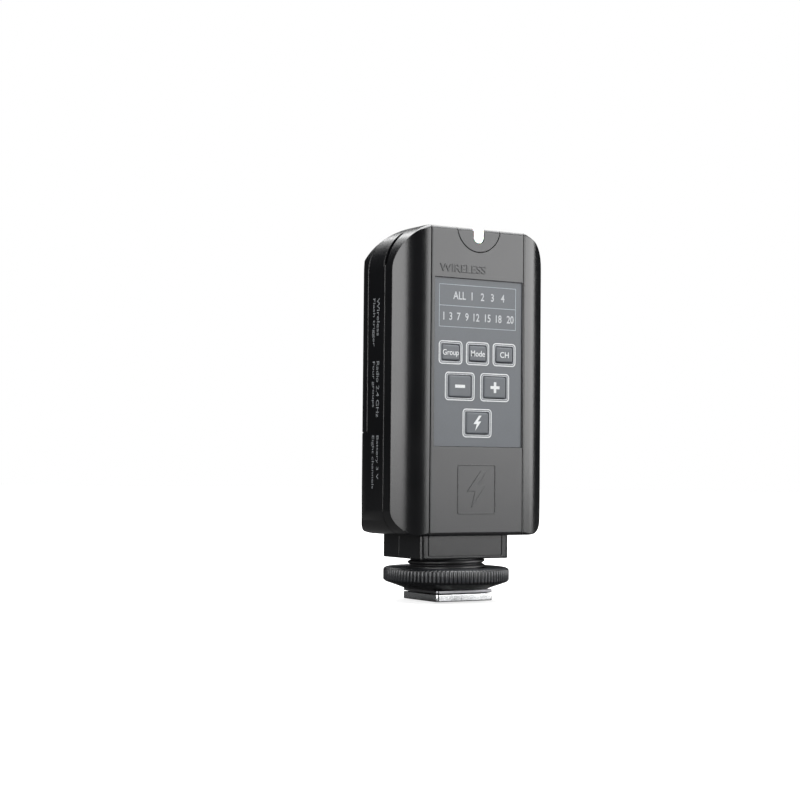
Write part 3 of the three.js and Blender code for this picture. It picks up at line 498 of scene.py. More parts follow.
# The ring's plastic carries painted shade at the foot of its ribs.
RING_PLASTIC = moulded(
    "ring_plastic", (0.0100, 0.0105, 0.0120), (0.0160, 0.0168, 0.0190), rough=(0.26, 0.34), grain=4200,
    painted_rib_shade=(17.3, 17.42, 17.66),
)
DARK_PART = moulded("black_component", (0.0075, 0.0075, 0.008), (0.0125, 0.0125, 0.013), rough=(0.32, 0.46))
RUBBER = moulded("rubber", (0.024, 0.024, 0.026), (0.038, 0.038, 0.040), rough=(0.72, 0.85), grain=2600)
LEAD = moulded("lead_sleeve", (0.24, 0.016, 0.013), (0.36, 0.030, 0.024), rough=(0.4, 0.55), grain=1800)
FILM = printed_film("label_film", (0.040, 0.045, 0.052), (0.052, 0.058, 0.066))
KEY_FILM = printed_film("key_film", (0.038, 0.043, 0.050), (0.050, 0.056, 0.064))
WHITE_INK = ink("white_ink", (0.36, 0.37, 0.375), (0.47, 0.48, 0.48))
PALE_INK = ink("pale_ink", (0.17, 0.20, 0.22), (0.24, 0.27, 0.29))
# Grey ink for the display numbers, also used for the painted highlight round each key.
GREY_INK_AND_KEY_HIGHLIGHT = ink("grey_ink_and_key_highlight", (0.24, 0.25, 0.26), (0.33, 0.34, 0.35))
SIDE_INK = ink("side_ink", (0.09, 0.095, 0.10), (0.14, 0.147, 0.155))
CLEAR = clear_acrylic("clear_plastic")
LAMPS = lamp_strip("lamp_strip")
BOARD = solder_mask("circuit_board")
TIN = metal("tinned_steel", (0.48, 0.49, 0.50), (0.66, 0.67, 0.69), (0.22, 0.38), grain=(1, 20, 20))
STEEL = metal("steel", (0.60, 0.61, 0.62), (0.78, 0.79, 0.80), (0.16, 0.30), grain=(4, 4, 60))
LEAF_STEEL = metal("leaf_steel", (0.17, 0.17, 0.18), (0.27, 0.27, 0.28), (0.30, 0.42), grain=(4, 4, 60))
DARK_STEEL = metal(
    "dark_steel", (0.045, 0.046, 0.050), (0.095, 0.097, 0.105), (0.28, 0.44), grain=(30, 30, 4)
)
BRASS = metal(
    "brass", (0.58, 0.40, 0.15), (0.82, 0.62, 0.28), (0.2, 0.34), grain=(6, 6, 40), tint=(0.45, 0.30, 0.12)
)

CARRIED = [  # the CAD pieces that keep their own shape
    (RUBBER, ["key_mat"]),
    (LAMPS, ["status_led", "led_row_upper", "led_row_lower"]),
    (CLEAR, ["display_diffuser"]),
    (BOARD, ["main_circuit_board"]),
    (TIN, ["radio_module", "battery_contact_negative", "battery_contact_positive", "power_switch_body"]),
    (DARK_PART, ["microcontroller", "battery_holder", "friction_washer_left", "friction_washer_right"]),
    (BRASS, ["antenna_strip", "contact_cap"]),
    (LEAD, ["shoe_lead", "board_lead"]),
    (STEEL, ["contact_spring", "pivot_pin_left", "pivot_pin_right"]),
    (SATIN, ["foot_spacer"]),
    (DARK_STEEL, [
        "neck_screw_left", "neck_screw_right", "board_screw_low", "board_screw_high",
        "shell_screw_high_left", "shell_screw_high_right",
    ]),
]
for material, node_names in CARRIED:
    for node_name in node_names:
        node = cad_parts[node_name]
        node.data.materials.clear()
        node.data.materials.append(material)

# ---- the transmitter body ----


def body_plan(inset):
    """The body from above: two curved shoulders in front and two long curves behind."""
    half = BODY.half - inset
    radius = SHOULDER.radius - inset
    end = math.acos((half - SHOULDER.x) / radius)
    rx = REAR.across_x - inset
    ry = REAR.across_y - inset
    cx = half - rx
    shoulder = arc(SHOULDER.x, SHOULDER.y, radius, -PI / 2, -end, 40)
    return both_sides(shoulder + arc(cx, REAR.y, rx, 0, PI / 2, 28, ry))


def body_side(inset):
    """The body from the side: flat in front, domed at the top and stepped in low on the back."""
    front = BODY.front + inset
    bottom = BODY.bottom + inset
    edge = BACK.edge - inset / 2
    lower = BACK.lower - inset
    dome_front = BODY.top - CROWN.front_rise
    dome_back = BODY.top - CROWN.back_rise
    across = CROWN.front_across - inset
    rise = CROWN.front_rise - inset
    drop = math.asin((CROWN.y - front - EDGE_ROUND) / across)
    front_edge = dome_front + rise * math.cos(drop) - EDGE_ROUND
    back_dome = arc(
        CROWN.y, dome_back, CROWN.back_across - inset, 0, PI / 2, 48, CROWN.back_rise - inset
    )
    return (
        [(front, bottom)]
        + arc(lower - edge, bottom + edge, edge, -PI / 2, 0, 16)
        + [(lower, BACK.step_low), (BACK.belly - inset, BACK.step_high)]
        + back_dome
        + arc(CROWN.y, dome_front, across, PI / 2, PI / 2 + drop, 12, rise)[1:]
        + arc(front + EDGE_ROUND, front_edge, EDGE_ROUND, PI / 2, PI, 12)[1:]
    )


def body_outline(inset):
    half = BODY.half - inset
    bottom = BODY.bottom + inset
    top = BODY.top - inset
    return rounded_rect(-half, half, bottom, top, BODY.low - inset, BODY.high - inset, 32)


def body_solid(inset, rounding=0):
    back = BACK.belly + EDGE_ROUND
    shape = rounded_prism(
        lambda more: body_outline(inset + more), "y", BODY.front, back, rounding, rounding, 8
    )
    return keep(
        shape,
        prism(body_plan(inset), "z", -FAR, FAR * 3),
        prism(body_side(inset), "x", -FAR, FAR),
    )


def notch_solid(grow):
    half = NOTCH.half + grow
    radius = NOTCH.radius + grow
    low = rounded_rect(-half, half, NOTCH.front - grow, HINGE.y, NOTCH.corner, 0.01, 12)
    return join(
        prism(low, "z", BODY.bottom - 5, HINGE.z + 1.5),
        cylinder("x", HINGE.y, HINGE.z, radius, -half, half, 128),
        box(-half, half, HINGE.y, FAR, BODY.bottom - 5, HINGE.z + radius),
    )


def light_section(grow):
    """The lamp window from the front: round at the foot and open at the top."""
    half = LIGHT.half + grow
    low = arc(0, LIGHT.low + LIGHT.half, half, PI, PI * 2, 32)
    return low + [(half, FAR * 2), (-half, FAR * 2)]


def light_slot():
    return prism(light_section(LIGHT.gap), "y", BODY.front - 1, LIGHT.back + 0.2)


def strap_slot():
    points = arc(STRAP.x, STRAP.z, STRAP.outer, STRAP.start, STRAP.end, 24)
    points += arc(STRAP.x, STRAP.z, STRAP.inner, STRAP.end, STRAP.start, 24)
    return prism(points, "y", SEAM - 0.85, SEAM + 0.85)


def seam_groove(y0, y1, z0, z1, depth=0.16):
    """The shallow rebate that a moulding's parting line sits in, all round the outside."""
    return cut(box(-FAR, FAR, y0, y1, z0, z1), body_solid(SKIN + depth))


outer = body_solid(SKIN, EDGE_ROUND)
inner = keep(body_solid(BODY.wall), box(-FAR, FAR, CAVITY_FRONT, FAR, -FAR, FAR * 3))
casing = cut(
    copy_of(outer),
    cut(copy_of(inner), notch_solid(NOTCH.wall)),
    notch_solid(0),
    cylinder("x", HINGE.y, HINGE.z, HINGE.bore, -18, 18, 48),
    seam_groove(SEAM - 0.14, SEAM + 0.14, -FAR, FAR * 3),
    seam_groove(DOOR.y - 0.08, DOOR.y + 0.22, DOOR.z, FAR * 3),
    seam_groove(DOOR.y, FAR, DOOR.z - 0.1, DOOR.z + 0.2),
)


def front_window(sizes, back):
    return box(-sizes.half, sizes.half, -FAR, back, sizes.low, sizes.high)


def strip_section(half, back, bevel):
    """The section of the front strip, or of the channel it lies in when the bevel opens outwards."""
    edge = BODY.front + abs(bevel)
    return both_sides([(-half, back), (-half, edge), (-half + bevel, BODY.front), (-half + bevel, -FAR)])


front = keep(copy_of(casing), box(-FAR, FAR, -FAR, SEAM - 0.05, 0, FAR * 2))
cut(
    front,
    prism(strip_section(PANEL.slot_half, PANEL.slot_floor, -0.28), "z", 0, FAR * 2),
    front_window(KEYPAD_WINDOW, CAVITY_FRONT + 0.1),
    front_window(DISPLAY, CAVITY_FRONT + 0.1),
    light_slot(),
    strap_slot(),
)
place(front, "body_front", "transmitter", SATIN, ["front_shell"])

rear = keep(copy_of(casing), box(-FAR, FAR, SEAM + 0.05, FAR, 0, FAR * 2))
cut(rear, box(-FAR, FAR, DOOR.y, FAR, DOOR.z, FAR * 2))
join(
    rear,
    keep(copy_of(inner), box(-FAR, FAR, BAY.front, BAY.back, BAY.shelf, FAR * 2)),
    keep(copy_of(inner), box(-FAR, FAR, BAY.front, FAR, BAY.shelf, DOOR.z - DOOR.gap)),
)
for side in (-1, 1):
    x = side * SHELL_SCREWS.x
    join(
        rear,
        keep(cylinder("y", x, SHELL_SCREWS.low, SHELL_BOSS.radius, SEAM + 0.05, FAR), copy_of(outer)),
        keep(cylinder("y", x, SHELL_SCREWS.high, SHELL_BOSS.radius, SEAM + 0.05, BAY.back), copy_of(outer)),
    )
    cut(
        rear,
        cylinder("y", x, SHELL_SCREWS.low, SHELL_BOSS.pilot, -FAR, FAR, 24),
        cylinder("y", x, SHELL_SCREWS.low, SHELL_BOSS.sink, SHELL_BOSS.sink_front, FAR, 40),
        cylinder("y", x, SHELL_SCREWS.high, SHELL_BOSS.pilot, -FAR, FAR, 24),
    )
knob_reach = SWITCH.knob_half + SWITCH.gap
switch_window = rounded_rect(
    SWITCH.y - SWITCH.window, SWITCH.y + SWITCH.window,
    SWITCH.z - knob_reach, SWITCH.z + knob_reach + SWITCH.travel, 0.4,
)
cut(
    rear,
    cylinder("x", SOCKET.y, SOCKET.z, SOCKET.bush + 0.1, 20, FAR, 64),
    prism(switch_window, "x", 20, FAR),
    strap_slot(),
)
place(rear, "body_rear", "transmitter", SATIN, ["rear_shell"])

# The battery cover, with finger ridges low on its back.
door = keep(copy_of(casing), box(-FAR, FAR, DOOR.y + DOOR.gap, FAR, DOOR.z + DOOR.gap, FAR * 2))
dome_foot = (CROWN.y + CROWN.back_across, BODY.top - CROWN.back_rise)
slope = (dome_foot[0] - BACK.belly) / (dome_foot[1] - BACK.step_high)


def back_level(z):
    return BACK.belly + slope * (z - BACK.step_high)


for step in range(RIDGES.count):
    z = RIDGES.z + step * RIDGES.pitch
    half = RIDGES.half - RIDGES.taper * step
    ridge = rounded_rect(-half, half, z - RIDGES.thick, z + RIDGES.thick, RIDGES.thick - 0.01)
    cut(door, prism(ridge, "y", back_level(z) - RIDGES.depth, FAR))
arrow = [(-ARROW.half, ARROW.low), (ARROW.half, ARROW.low), (0, ARROW.high)]
cut(door, prism(arrow, "y", back_level((ARROW.low + ARROW.high) / 2) - ARROW.depth, FAR))
place(door, "battery_cover_moulding", "battery_cover", SATIN, ["battery_door"])

# The front strip, its recess for the label and the disc round the light.
panel = keep(copy_of(outer), prism(strip_section(PANEL.half, PANEL.back, 0.2), "z", 0, FAR * 2))
cut(
    panel,
    box(LABEL.left, LABEL.right, -FAR, LABEL.back, LABEL.low, LABEL.high),
    cylinder("y", 0, LIGHT.z, LIGHT.disc + LIGHT.gap, -FAR, LIGHT.disc_back, 96),
    front_window(DISPLAY, 0),
    light_slot(),
)


def key_outline(key, grow):
    x, z, w, h = KEYS[key]
    corner = max(0.6 + grow, 0.05)
    return rounded_rect(
        x - w / 2 - grow, x + w / 2 + grow, z - h / 2 - grow, z + h / 2 + grow, corner, None, 8
    )


for key in KEYS:
    cut(panel, prism(key_outline(key, 0.12), "y", -FAR, 0))
place(panel, "front_strip", "transmitter", STRIP, ["front_panel"])

disc = rounded_prism(
    lambda inset: arc(0, LIGHT.z, LIGHT.disc - inset, 0, PI * 2, 96)[:-1],
    "y", BODY.front, LIGHT.disc_back, 0.3, 0,
)
cut(keep(disc, copy_of(outer)), light_slot())
place(disc, "light_disc", "transmitter", STRIP, ["light_bezel"])

pipe = rounded_prism(
    lambda inset: light_section(-inset), "y", BODY.front, LIGHT.back, 0.35, 0, 6
)
keep(pipe, copy_of(outer))
place(pipe, "light_window", "transmitter", CLEAR, ["light_pipe"], angle=50)

film = rounded_prism(
    lambda inset: rounded_rect(
        LABEL.left + 0.1 + inset, LABEL.right - 0.1 - inset,
        LABEL.low + 0.1 + inset, LABEL.high - 0.1 - inset, 0.3 - inset / 2,
    ),
    "y", LABEL.front, LABEL.back, 0.05, 0, 3,
)
for key in KEYS:
    cut(film, prism(key_outline(key, 0.12), "y", -FAR, 0))
place(film, "label_sheet", "transmitter", FILM, ["keypad_overlay"])


def key_cap(key):
    """A flange behind the strip, a shallow crown with a rolled edge, and a stem for the key mat."""
    rings = [
        (CAP.back, CAP.flange), (CAP.flange_front, CAP.flange), (CAP.flange_front, 0), (CAP.shoulder, 0),
    ]
    for i in range(1, 7):
        t = PI / 2 * i / 6
        rings.append((CAP.shoulder - CAP.crown * math.sin(t), -CAP.roll * (1 - math.cos(t))))
    rings.append((KEY_FRONT + 0.005, -0.6))
    loops = [[at("y", p, level) for p in key_outline(key, grow)] for level, grow in rings]
    x, z = KEYS[key][:2]
    return join(loft(loops), cylinder("y", x, z, 1.2, CAP.back - 0.2, CAP.stem_end, 32))


for key in KEYS:
    place(key_cap(key), "key_cap_" + key, f"key_{key}_cap", KEY_FILM, [f"key_{key}"])


# ---- print ----


def frame_line(x, z, w, h, width, radius, y, lift):
    """A thin rounded outline standing lift proud of the level y, used for print, for relief in the strip and
    for the painted highlight round each key.
    """
    def loop(inset, level):
        across = w / 2 - inset
        rise = h / 2 - inset
        corner = max(radius - inset, 0.05)
        outline = rounded_rect(x - across, x + across, z - rise, z + rise, corner, None, 8)
        return [at("y", p, level) for p in outline]
    return loft([loop(0, y), loop(0, y - lift), loop(width, y - lift), loop(width, y)], closed=True)


def lettering(text, width, height, lift, bold):
    """Text as a thin solid, centred on the origin in its own plane. Without a width it is only narrowed."""
    curve = bpy.data.curves.new("text", "FONT")
    curve.body = text
    curve.size = 1
    curve.extrude = 0.5
    curve.offset = bold
    curve.resolution_u = 6
    holder = in_scene("text", curve)
    mesh = evaluated(holder)
    remove(holder)
    corners = [v.co for v in mesh.vertices]
    low = Vector([min(c[i] for c in corners) for i in range(3)])
    high = Vector([max(c[i] for c in corners) for i in range(3)])
    size = high - low
    across = width / size.x if width else NARROW * height / size.y
    scale = Matrix.Diagonal((across, height / size.y, lift / size.z, 1))
    mesh.transform(scale @ Matrix.Translation(-(low + high) / 2))
    return in_scene("text", mesh)


FRONT_TURN = Matrix(((1, 0, 0, 0), (0, 0, -1, 0), (0, 1, 0, 0), (0, 0, 0, 1)))
LEFT_TURN = Matrix(((0, 0, -1, 0), (0, -1, 0, 0), (-1, 0, 0, 0), (0, 0, 0, 1)))


def set_at(piece, turn, x, y, z):
    piece.data.transform(Matrix.Translation((x, y, z)) @ turn)
    return piece


def merge(pieces):
    """Several loose meshes as one object."""
    bm = bmesh.new()
    for piece in pieces:
        bm.from_mesh(piece.data)
        remove(piece)
    return from_bmesh("merged", bm)


INK = 0.024  # how far ink stands proud
NARROW = 0.82  # the typeface is drawn a little narrower than it comes
ROWS = Sizes(upper=84.25, lower=78.45, height=2.15, bold=0.012)
DISPLAY_FRAME = Sizes(half=12.6, z=81.35, across=25.5, high=11.75, width=0.15, corner=0.12, divider=0.08)
OUTLINE = Sizes(width=0.27, corner=1.1, inner_width=0.2, inner_corner=0.6, gap=0.53)
on_film = LABEL.front - INK / 2
on_key = KEY_FRONT - INK / 2 + 0.004

rows = []
upper = {"ALL": -6.1, "1": -1.98, "2": 1.48, "3": 4.82, "4": 8.28}
lower = {"1": -11.2, "3": -8.93, "7": -6.33, "9": -3.64, "12": -0.48, "15": 3.3, "18": 6.98, "20": 10.87}
for level, row in ((ROWS.upper, upper), (ROWS.lower, lower)):
    for text, x in row.items():
        number = lettering(text, None, ROWS.height, INK, ROWS.bold)
        rows.append(set_at(number, FRONT_TURN, x, on_film, level))
place(merge(rows), "print_display_numbers", "transmitter", GREY_INK_AND_KEY_HIGHLIGHT)

line_y = LABEL.front + 0.001
edge = DISPLAY_FRAME
divider = rectangle(-edge.half, edge.half, edge.z - edge.divider, edge.z + edge.divider)
lines = [
    frame_line(0, edge.z, edge.across, edge.high, edge.width, edge.corner, line_y, INK),
    prism(divider, "y", line_y - INK, line_y),
]
place(merge(lines), "print_display_frame", "transmitter", PALE_INK)

outlines = []
key_edge_highlights = []
for key, (x, z, w, h) in KEYS.items():
    family = "group" if w < 6 else ("test" if key == "test" else "minus")
    wide, high = KEY_FRAMES[family]
    outlines.append(frame_line(x, z, wide, high, OUTLINE.width, OUTLINE.corner, line_y, INK))
    # The grey inner line round each key is a painted highlight: grey ink laid where the key's raised edge
    # catches the light.
    wide -= OUTLINE.gap * 2
    high -= OUTLINE.gap * 2
    key_edge_highlights.append(frame_line(x, z, wide, high, OUTLINE.inner_width, OUTLINE.inner_corner, line_y, INK))
place(merge(outlines), "print_key_outlines", "transmitter", WHITE_INK)
place(merge(key_edge_highlights), "painted_key_edge_highlights", "transmitter", GREY_INK_AND_KEY_HIGHLIGHT)

LEGENDS = {"group": ("Group", 5.2, 2.0), "mode": ("Mode", 4.6, 1.62), "channel": ("CH", 2.9, 1.62)}
for key, (text, width, height) in LEGENDS.items():
    x, z = KEYS[key][:2]
    drop = 0.2 if key == "group" else 0  # for the letter that hangs below the line
    piece = set_at(lettering(text, width, height, INK, 0.004), FRONT_TURN, x, on_key, z - drop)
    place(piece, "print_" + key, f"key_{key}_cap", WHITE_INK)


def bolt(x, z, height):
    """A plain lightning flash, the usual sign for a flash lamp."""
    shape = [
        (0.14, 0.5), (-0.30, -0.06), (-0.04, -0.06), (-0.16, -0.5), (0.30, 0.12), (0.04, 0.12), (0.34, 0.5),
    ]
    return [(x + a * height, z + b * height) for a, b in shape]


MINUS = Sizes(half=1.62, thick=0.42)
MARKS = {
    "minus": lambda x, z: rectangle(x - MINUS.half, x + MINUS.half, z - MINUS.thick, z + MINUS.thick),
    "plus": lambda x, z: plus_sign(x, z, 1.5, 0.4),
    "test": lambda x, z: bolt(x - 0.05, z, 4.2),
}
for key, outline in MARKS.items():
    mark = prism(outline(*KEYS[key][:2]), "y", on_key - INK / 2, on_key + INK / 2)
    place(mark, "print_" + key, f"key_{key}_cap", WHITE_INK)

# Raised marks in the strip's own plastic.
raised = set_at(lettering("WIRELESS", 15.0, 2.2, 0.2, 0.004), FRONT_TURN, -5.2, BODY.front - 0.02, 91.7)
place(raised, "strip_word", "transmitter", STRIP)
BADGE = Sizes(x=-0.2, z=31.1, across=12.6, high=13.6, bolt=10)
badge_back = BODY.front + 0.05
badge = [
    frame_line(BADGE.x, BADGE.z, BADGE.across, BADGE.high, 0.3, 0.6, badge_back, 0.15),
    prism(bolt(BADGE.x - 0.1, BADGE.z, BADGE.bolt), "y", badge_back - 0.15, badge_back),
]
place(merge(badge), "strip_badge", "transmitter", STRIP)

side_x = -BODY.half + SKIN - 0.001
side_text = []
for start, first, second, long_first, long_second in (
    (83.4, "Wireless", "Flash trigger", 10.4, 13.2),
    (66.0, "Radio 2.4 GHz", "Four groups", 15.4, 12.6),
    (45.6, "Battery 3 V", "Eight channels", 12.0, 14.6),
):
    for text, length, y in ((first, long_first, -3.2), (second, long_second, -0.8)):
        line = lettering(text, length, 1.5, 0.014, 0.002)
        side_text.append(set_at(line, LEFT_TURN, side_x, y, start - length / 2))
place(merge(side_text), "print_side", "transmitter", SIDE_INK)

# ---- screws ----


def cross_recess(axis, a, b, arm, low, high):
    """A cross-shaped cutter, tapering a little towards its foot."""
    points = plus_sign(0, 0, arm, 0.22)
    inner_loop = [at(axis, (a + u * 0.55, b + v * 0.55), low) for u, v in points]
    outer_loop = [at(axis, (a + u * 1.05, b + v * 1.05), high) for u, v in points]
    return loft([inner_loop, outer_loop])


def pan_screw(x, z, back, head, shank, length):
    """A tapping screw with a domed pan head that faces +Y."""
    pitch = 0.45
    tip = back - 1.3 - length
    thread = tip + 0.6
    profile = [(0, tip), (shank * 0.5, tip), (shank, thread)]
    for i in range(int((length - 0.8) / pitch)):
        level = thread + i * pitch
        profile += [(shank, level + 0.2), (shank * 0.78, level + 0.34), (shank, level + 0.44)]
    profile += [(shank, back - 1.25), (head, back - 1.25), (head, back - 0.7)]
    profile += [(head * math.cos(t), back - 0.7 + 0.65 * math.sin(t)) for t in (0.35, 0.7, 1.05, 1.35)]
    profile.append((0, back - 0.02))
    piece = lathe(profile, 40, (x, z), "y")
    return cut(piece, cross_recess("y", x, z, head * 0.55, back - 0.8, back + 0.3))


for side, end in ((-1, "left"), (1, "right")):
    low_screw = pan_screw(side * SHELL_SCREWS.x, SHELL_SCREWS.low, back=-1.7, head=1.8, shank=0.8, length=8.2)
    place(low_screw, f"case_screw_{end}", "transmitter", DARK_STEEL, [f"shell_screw_low_{end}"])
    block_screw = pan_screw(side * BLOCK_SCREWS.x, BLOCK_SCREWS.z, back=10.2, head=1.8, shank=0.8, length=12)
    place(block_screw, f"hinge_block_screw_{end}", "foot", DARK_STEEL, [f"block_screw_{end}"])

screw_places = [(FOOT_SCREWS.x * sx, FOOT_Y + FOOT_SCREWS.y * sy) for sx in (-1, 1) for sy in (-1, 1)]
sole_screw = [  # (radius, level) from the tip in the neck down to the head in the sole
    (0, 9.4), (0.6, 9.4), (0.9, 9.0), (0.9, 1.15), (1.66, 0.22), (1.68, 0.16), (1.55, 0.155), (0.9, 0.153),
    (0, 0.151),
]
for number, (x, y) in enumerate(screw_places, 1):
    screw = lathe(sole_screw, 40, (x, y), "z")
    cut(screw, cross_recess("z", x, y, 1, 0.9, -0.2))
    place(screw, f"sole_screw_{number}", "foot", DARK_STEEL, [f"foot_screw_{number}"])

# ---- the side controls ----

bore = SOCKET.bore
bush = SOCKET.bush
side_face = BODY.half
socket_line = (SOCKET.y, SOCKET.z)
socket = lathe(
    [
        (bore, 13), (bush, 13), (bush, side_face - 0.45), (bush - 0.15, side_face - 0.3),
        (bore + 0.25, side_face - 0.3), (bore, side_face - 0.55),
    ],
    64, socket_line, "x",
)
housing = box(11.5, 22.6, SOCKET.y - 3.6, -0.2, SOCKET.z - 3.4, SOCKET.z + 3.4)
cut(housing, cylinder("x", *socket_line, bore, 13, FAR))
join(socket, housing)
place(socket, "sync_jack", "transmitter", DARK_PART, ["sync_socket"])
collar = lathe(
    [
        (bore + 0.02, 20), (bore + 0.3, 20), (bore + 0.3, side_face - 0.29), (bore + 0.24, side_face - 0.24),
        (bore + 0.08, side_face - 0.24), (bore + 0.02, side_face - 0.3),
    ],
    64, socket_line, "x",
)
place(collar, "sync_jack_collar", "transmitter", STEEL)

knob_low = SWITCH.z - SWITCH.knob_half
knob_high = SWITCH.z + SWITCH.knob_half
knob = box(23.4, side_face - 0.01, SWITCH.y - SWITCH.knob, SWITCH.y + SWITCH.knob, knob_low, knob_high)
soften(knob, 0.18, 3)
for step in (-1.2, -0.6, 0, 0.6, 1.2):
    z = SWITCH.z + step
    groove = [(side_face + 0.2, z - 0.3), (side_face - 0.38, z), (side_face + 0.2, z + 0.3)]
    cut(knob, prism(groove, "y", -10, 10))
join(knob, box(20.6, 24, SWITCH.y - 0.8, SWITCH.y + 0.8, SWITCH.z - 1.5, SWITCH.z + 1.5))
place(knob, "slide_switch_knob", "power_knob", DARK_PART, ["power_switch_knob"])

# ---- the battery ----


def button_cell():
    """A coin cell: the can faces back with its plus sign, and the smaller cap faces the board."""
    rim = CELL.radius
    back = CELL.back
    face = back - CELL.thickness
    profile = [
        (0, face), (rim - 1.9, face), (rim - 1.6, face + 0.15), (rim - 1.6, face + 0.6),
        (rim - 0.4, face + 0.6), (rim, face + 0.9), (rim, back - 0.35), (rim - 0.12, back - 0.1),
        (rim - 0.4, back), (rim - 1.3, back), (rim - 1.4, back - 0.06), (0, back - 0.06),
    ]
    mark = prism(plus_sign(0, CELL.z, 1.7, 0.3), "y", back - 0.12, FAR)
    return cut(lathe(profile, 128, (0, CELL.z), "y"), mark)


place(button_cell(), "button_cell", "transmitter", STEEL, ["coin_cell"])

# ---- the foot block ----


def block_side(inset):
    """The block from the side: flat-footed, and round over the hinge."""
    radius = BLOCK.radius - inset
    low = BLOCK.bottom + inset
    y = HINGE.y
    corner = max(BLOCK_EDGE.foot - inset, 0.02)
    return (
        arc(y - radius + corner, low + corner, corner, PI, PI * 1.5, 5)
        + arc(y + radius - corner, low + corner, corner, -PI / 2, 0, 5)
        + arc(y, HINGE.z, radius, 0, PI, 72)
    )


def block_solid(inset, rounding=0):
    half = BLOCK.half - inset
    depth = BLOCK.radius - inset
    y = HINGE.y
    plan = rounded_rect(-half, half, y - depth, y + depth, BLOCK.corner - inset / 2, None, 20)
    side = rounded_prism(lambda more: block_side(inset + more), "x", -half, half, rounding, rounding)
    return keep(side, prism(plan, "z", 0, FAR))


block = cut(block_solid(0, BLOCK_EDGE.side), block_solid(BLOCK.wall))
for side in (-1, 1):
    ends = sorted([side * PIVOT_BOSS.inner, side * PIVOT_BOSS.outer])
    sink = sorted([side * PIVOT_SINK.inner, side * FAR])
    neck_hole_top = BLOCK.bottom + BLOCK.wall + 0.2
    join(block, cylinder("x", HINGE.y, HINGE.z, PIVOT_BOSS.radius, *ends))
    join(block, cylinder("y", side * BLOCK_SCREWS.x, BLOCK_SCREWS.z, 2.3, -9, 10))
    cut(block, cylinder("x", HINGE.y, HINGE.z, PIVOT_SINK.radius, *sink, 64))
    cut(block, cylinder("z", side * NECK_SCREWS.x, 0, NECK_SCREWS.hole, 0, neck_hole_top, 24))
cut(
    block,
    cylinder("x", HINGE.y, HINGE.z, HINGE.bore, -18, 18),
    cylinder("z", 0, FOOT_Y, CONTACT.hole, 0, BLOCK.bottom + 3),
    cut(  # the fine line that frames the block's front
        prism(rounded_rect(-12.32, 12.32, 12.3, HINGE.z + 4, 0.8), "y", -FAR, -9.62),
        prism(rounded_rect(-12.03, 12.03, 12.6, HINGE.z + 3.7, 0.6), "y", -FAR, 0),
    ),
)
split_groove = cut(box(-FAR, FAR, BLOCK.split - 0.13, BLOCK.split + 0.13, 0, FAR), block_solid(0.14))
cut(block, split_groove)
block_front = keep(copy_of(block), box(-FAR, FAR, -FAR, BLOCK.split - 0.05, 0, FAR))
block_rear = keep(block, box(-FAR, FAR, BLOCK.split + 0.05, FAR, 0, FAR))
for side in (-1, 1):
    x = side * BLOCK_SCREWS.x
    z = BLOCK_SCREWS.z
    cut(block_front, cylinder("y", x, z, 0.85, -7.5, FAR, 24))
    cut(block_rear, cylinder("y", x, z, 1.05, -FAR, FAR, 24), cylinder("y", x, z, 1.95, 8.9, FAR, 40))
place(block_front, "hinge_block_front", "foot", BLOCK_PLASTIC, ["foot_block_front"])
place(block_rear, "hinge_block_rear", "foot", BLOCK_PLASTIC, ["foot_block_rear"])

# ---- the threaded neck and the locking ring ----


def thread_radius(angle, z):
    """A rounded right-hand thread that fades out at both ends."""
    turn = (z / THREAD.pitch - angle / (2 * PI)) % 1
    height = min(1, max(0, (1 - abs(2 * turn - 1)) * THREAD.flank))
    fade_low = max(0, (z - SPACER_TOP) / THREAD.fade_low)
    fade = min(1, fade_low, max(0, (BLOCK.bottom - z) / THREAD.fade_high))
    return THREAD.root + (THREAD.major - THREAD.root) * height * fade


rows = 72
angles = [2 * PI * i / 128 for i in range(128)]
loops = []
for row in range(rows + 1):
    z = SPACER_TOP + (BLOCK.bottom - SPACER_TOP) * row / rows
    loops.append([(thread_radius(t, z) * math.cos(t), thread_radius(t, z) * math.sin(t), z) for t in angles])
neck = loft(loops)
cut(neck, cylinder("z", 0, FOOT_Y, CONTACT.hole, 0, FAR))
place(neck, "neck_thread", "foot", DARK_PART, ["threaded_neck"])

# The ring's section from the underside of the bore, out round the ribs and back; the last number of
# each row is how far the ribs stand out at that level.
section = [
    (RING.bore, 3.25, 0), (RING.bore + 0.1, RING.low, 0), (RING.cone - 0.15, RING.low, 0),
    (RING.cone + 0.1, 3.25, 0), (14.4, 4.12, 0), (16.6, 4.86, 0), (17.1, 5.04, 0), (17.3, 5.2, 0.05),
    (17.55, 5.4, 0.25), (RING.radius, 5.7, RIBS.depth), (RING.radius, 7.2, RIBS.depth),
    (RING.radius, 8.3, RIBS.depth), (17.62, 8.62, 0.3), (17.35, 8.86, 0.1), (17.05, 9.02, 0),
    (16.7, RING.high, 0), (14, RING.high, 0),
    (RING.bore + 0.35, RING.high, 0), (RING.bore, RING.high - 0.3, 0),
]
samples = RIBS.count * 10
loops = []
for radius, z, depth in section:
    loop = []
    for i in range(samples):
        angle = 2 * PI * i / samples
        wave = abs(math.sin(angle * RIBS.count / 2)) ** RIBS.shape
        r = radius - depth * (1 - wave)
        loop.append((r * math.cos(angle), r * math.sin(angle), z))
    loops.append(loop)
ring = loft(loops, closed=True)
place(ring, "knurled_ring", "ring", RING_PLASTIC, ["lock_ring"], angle=28)

# ---- the shoe ----


def foot_outline(inset):
    return rounded_rect(
        -FOOT.half + inset, FOOT.half - inset, FOOT.front + inset, FOOT.back - inset,
        FOOT.corner - inset * 0.8, None, 8,
    )


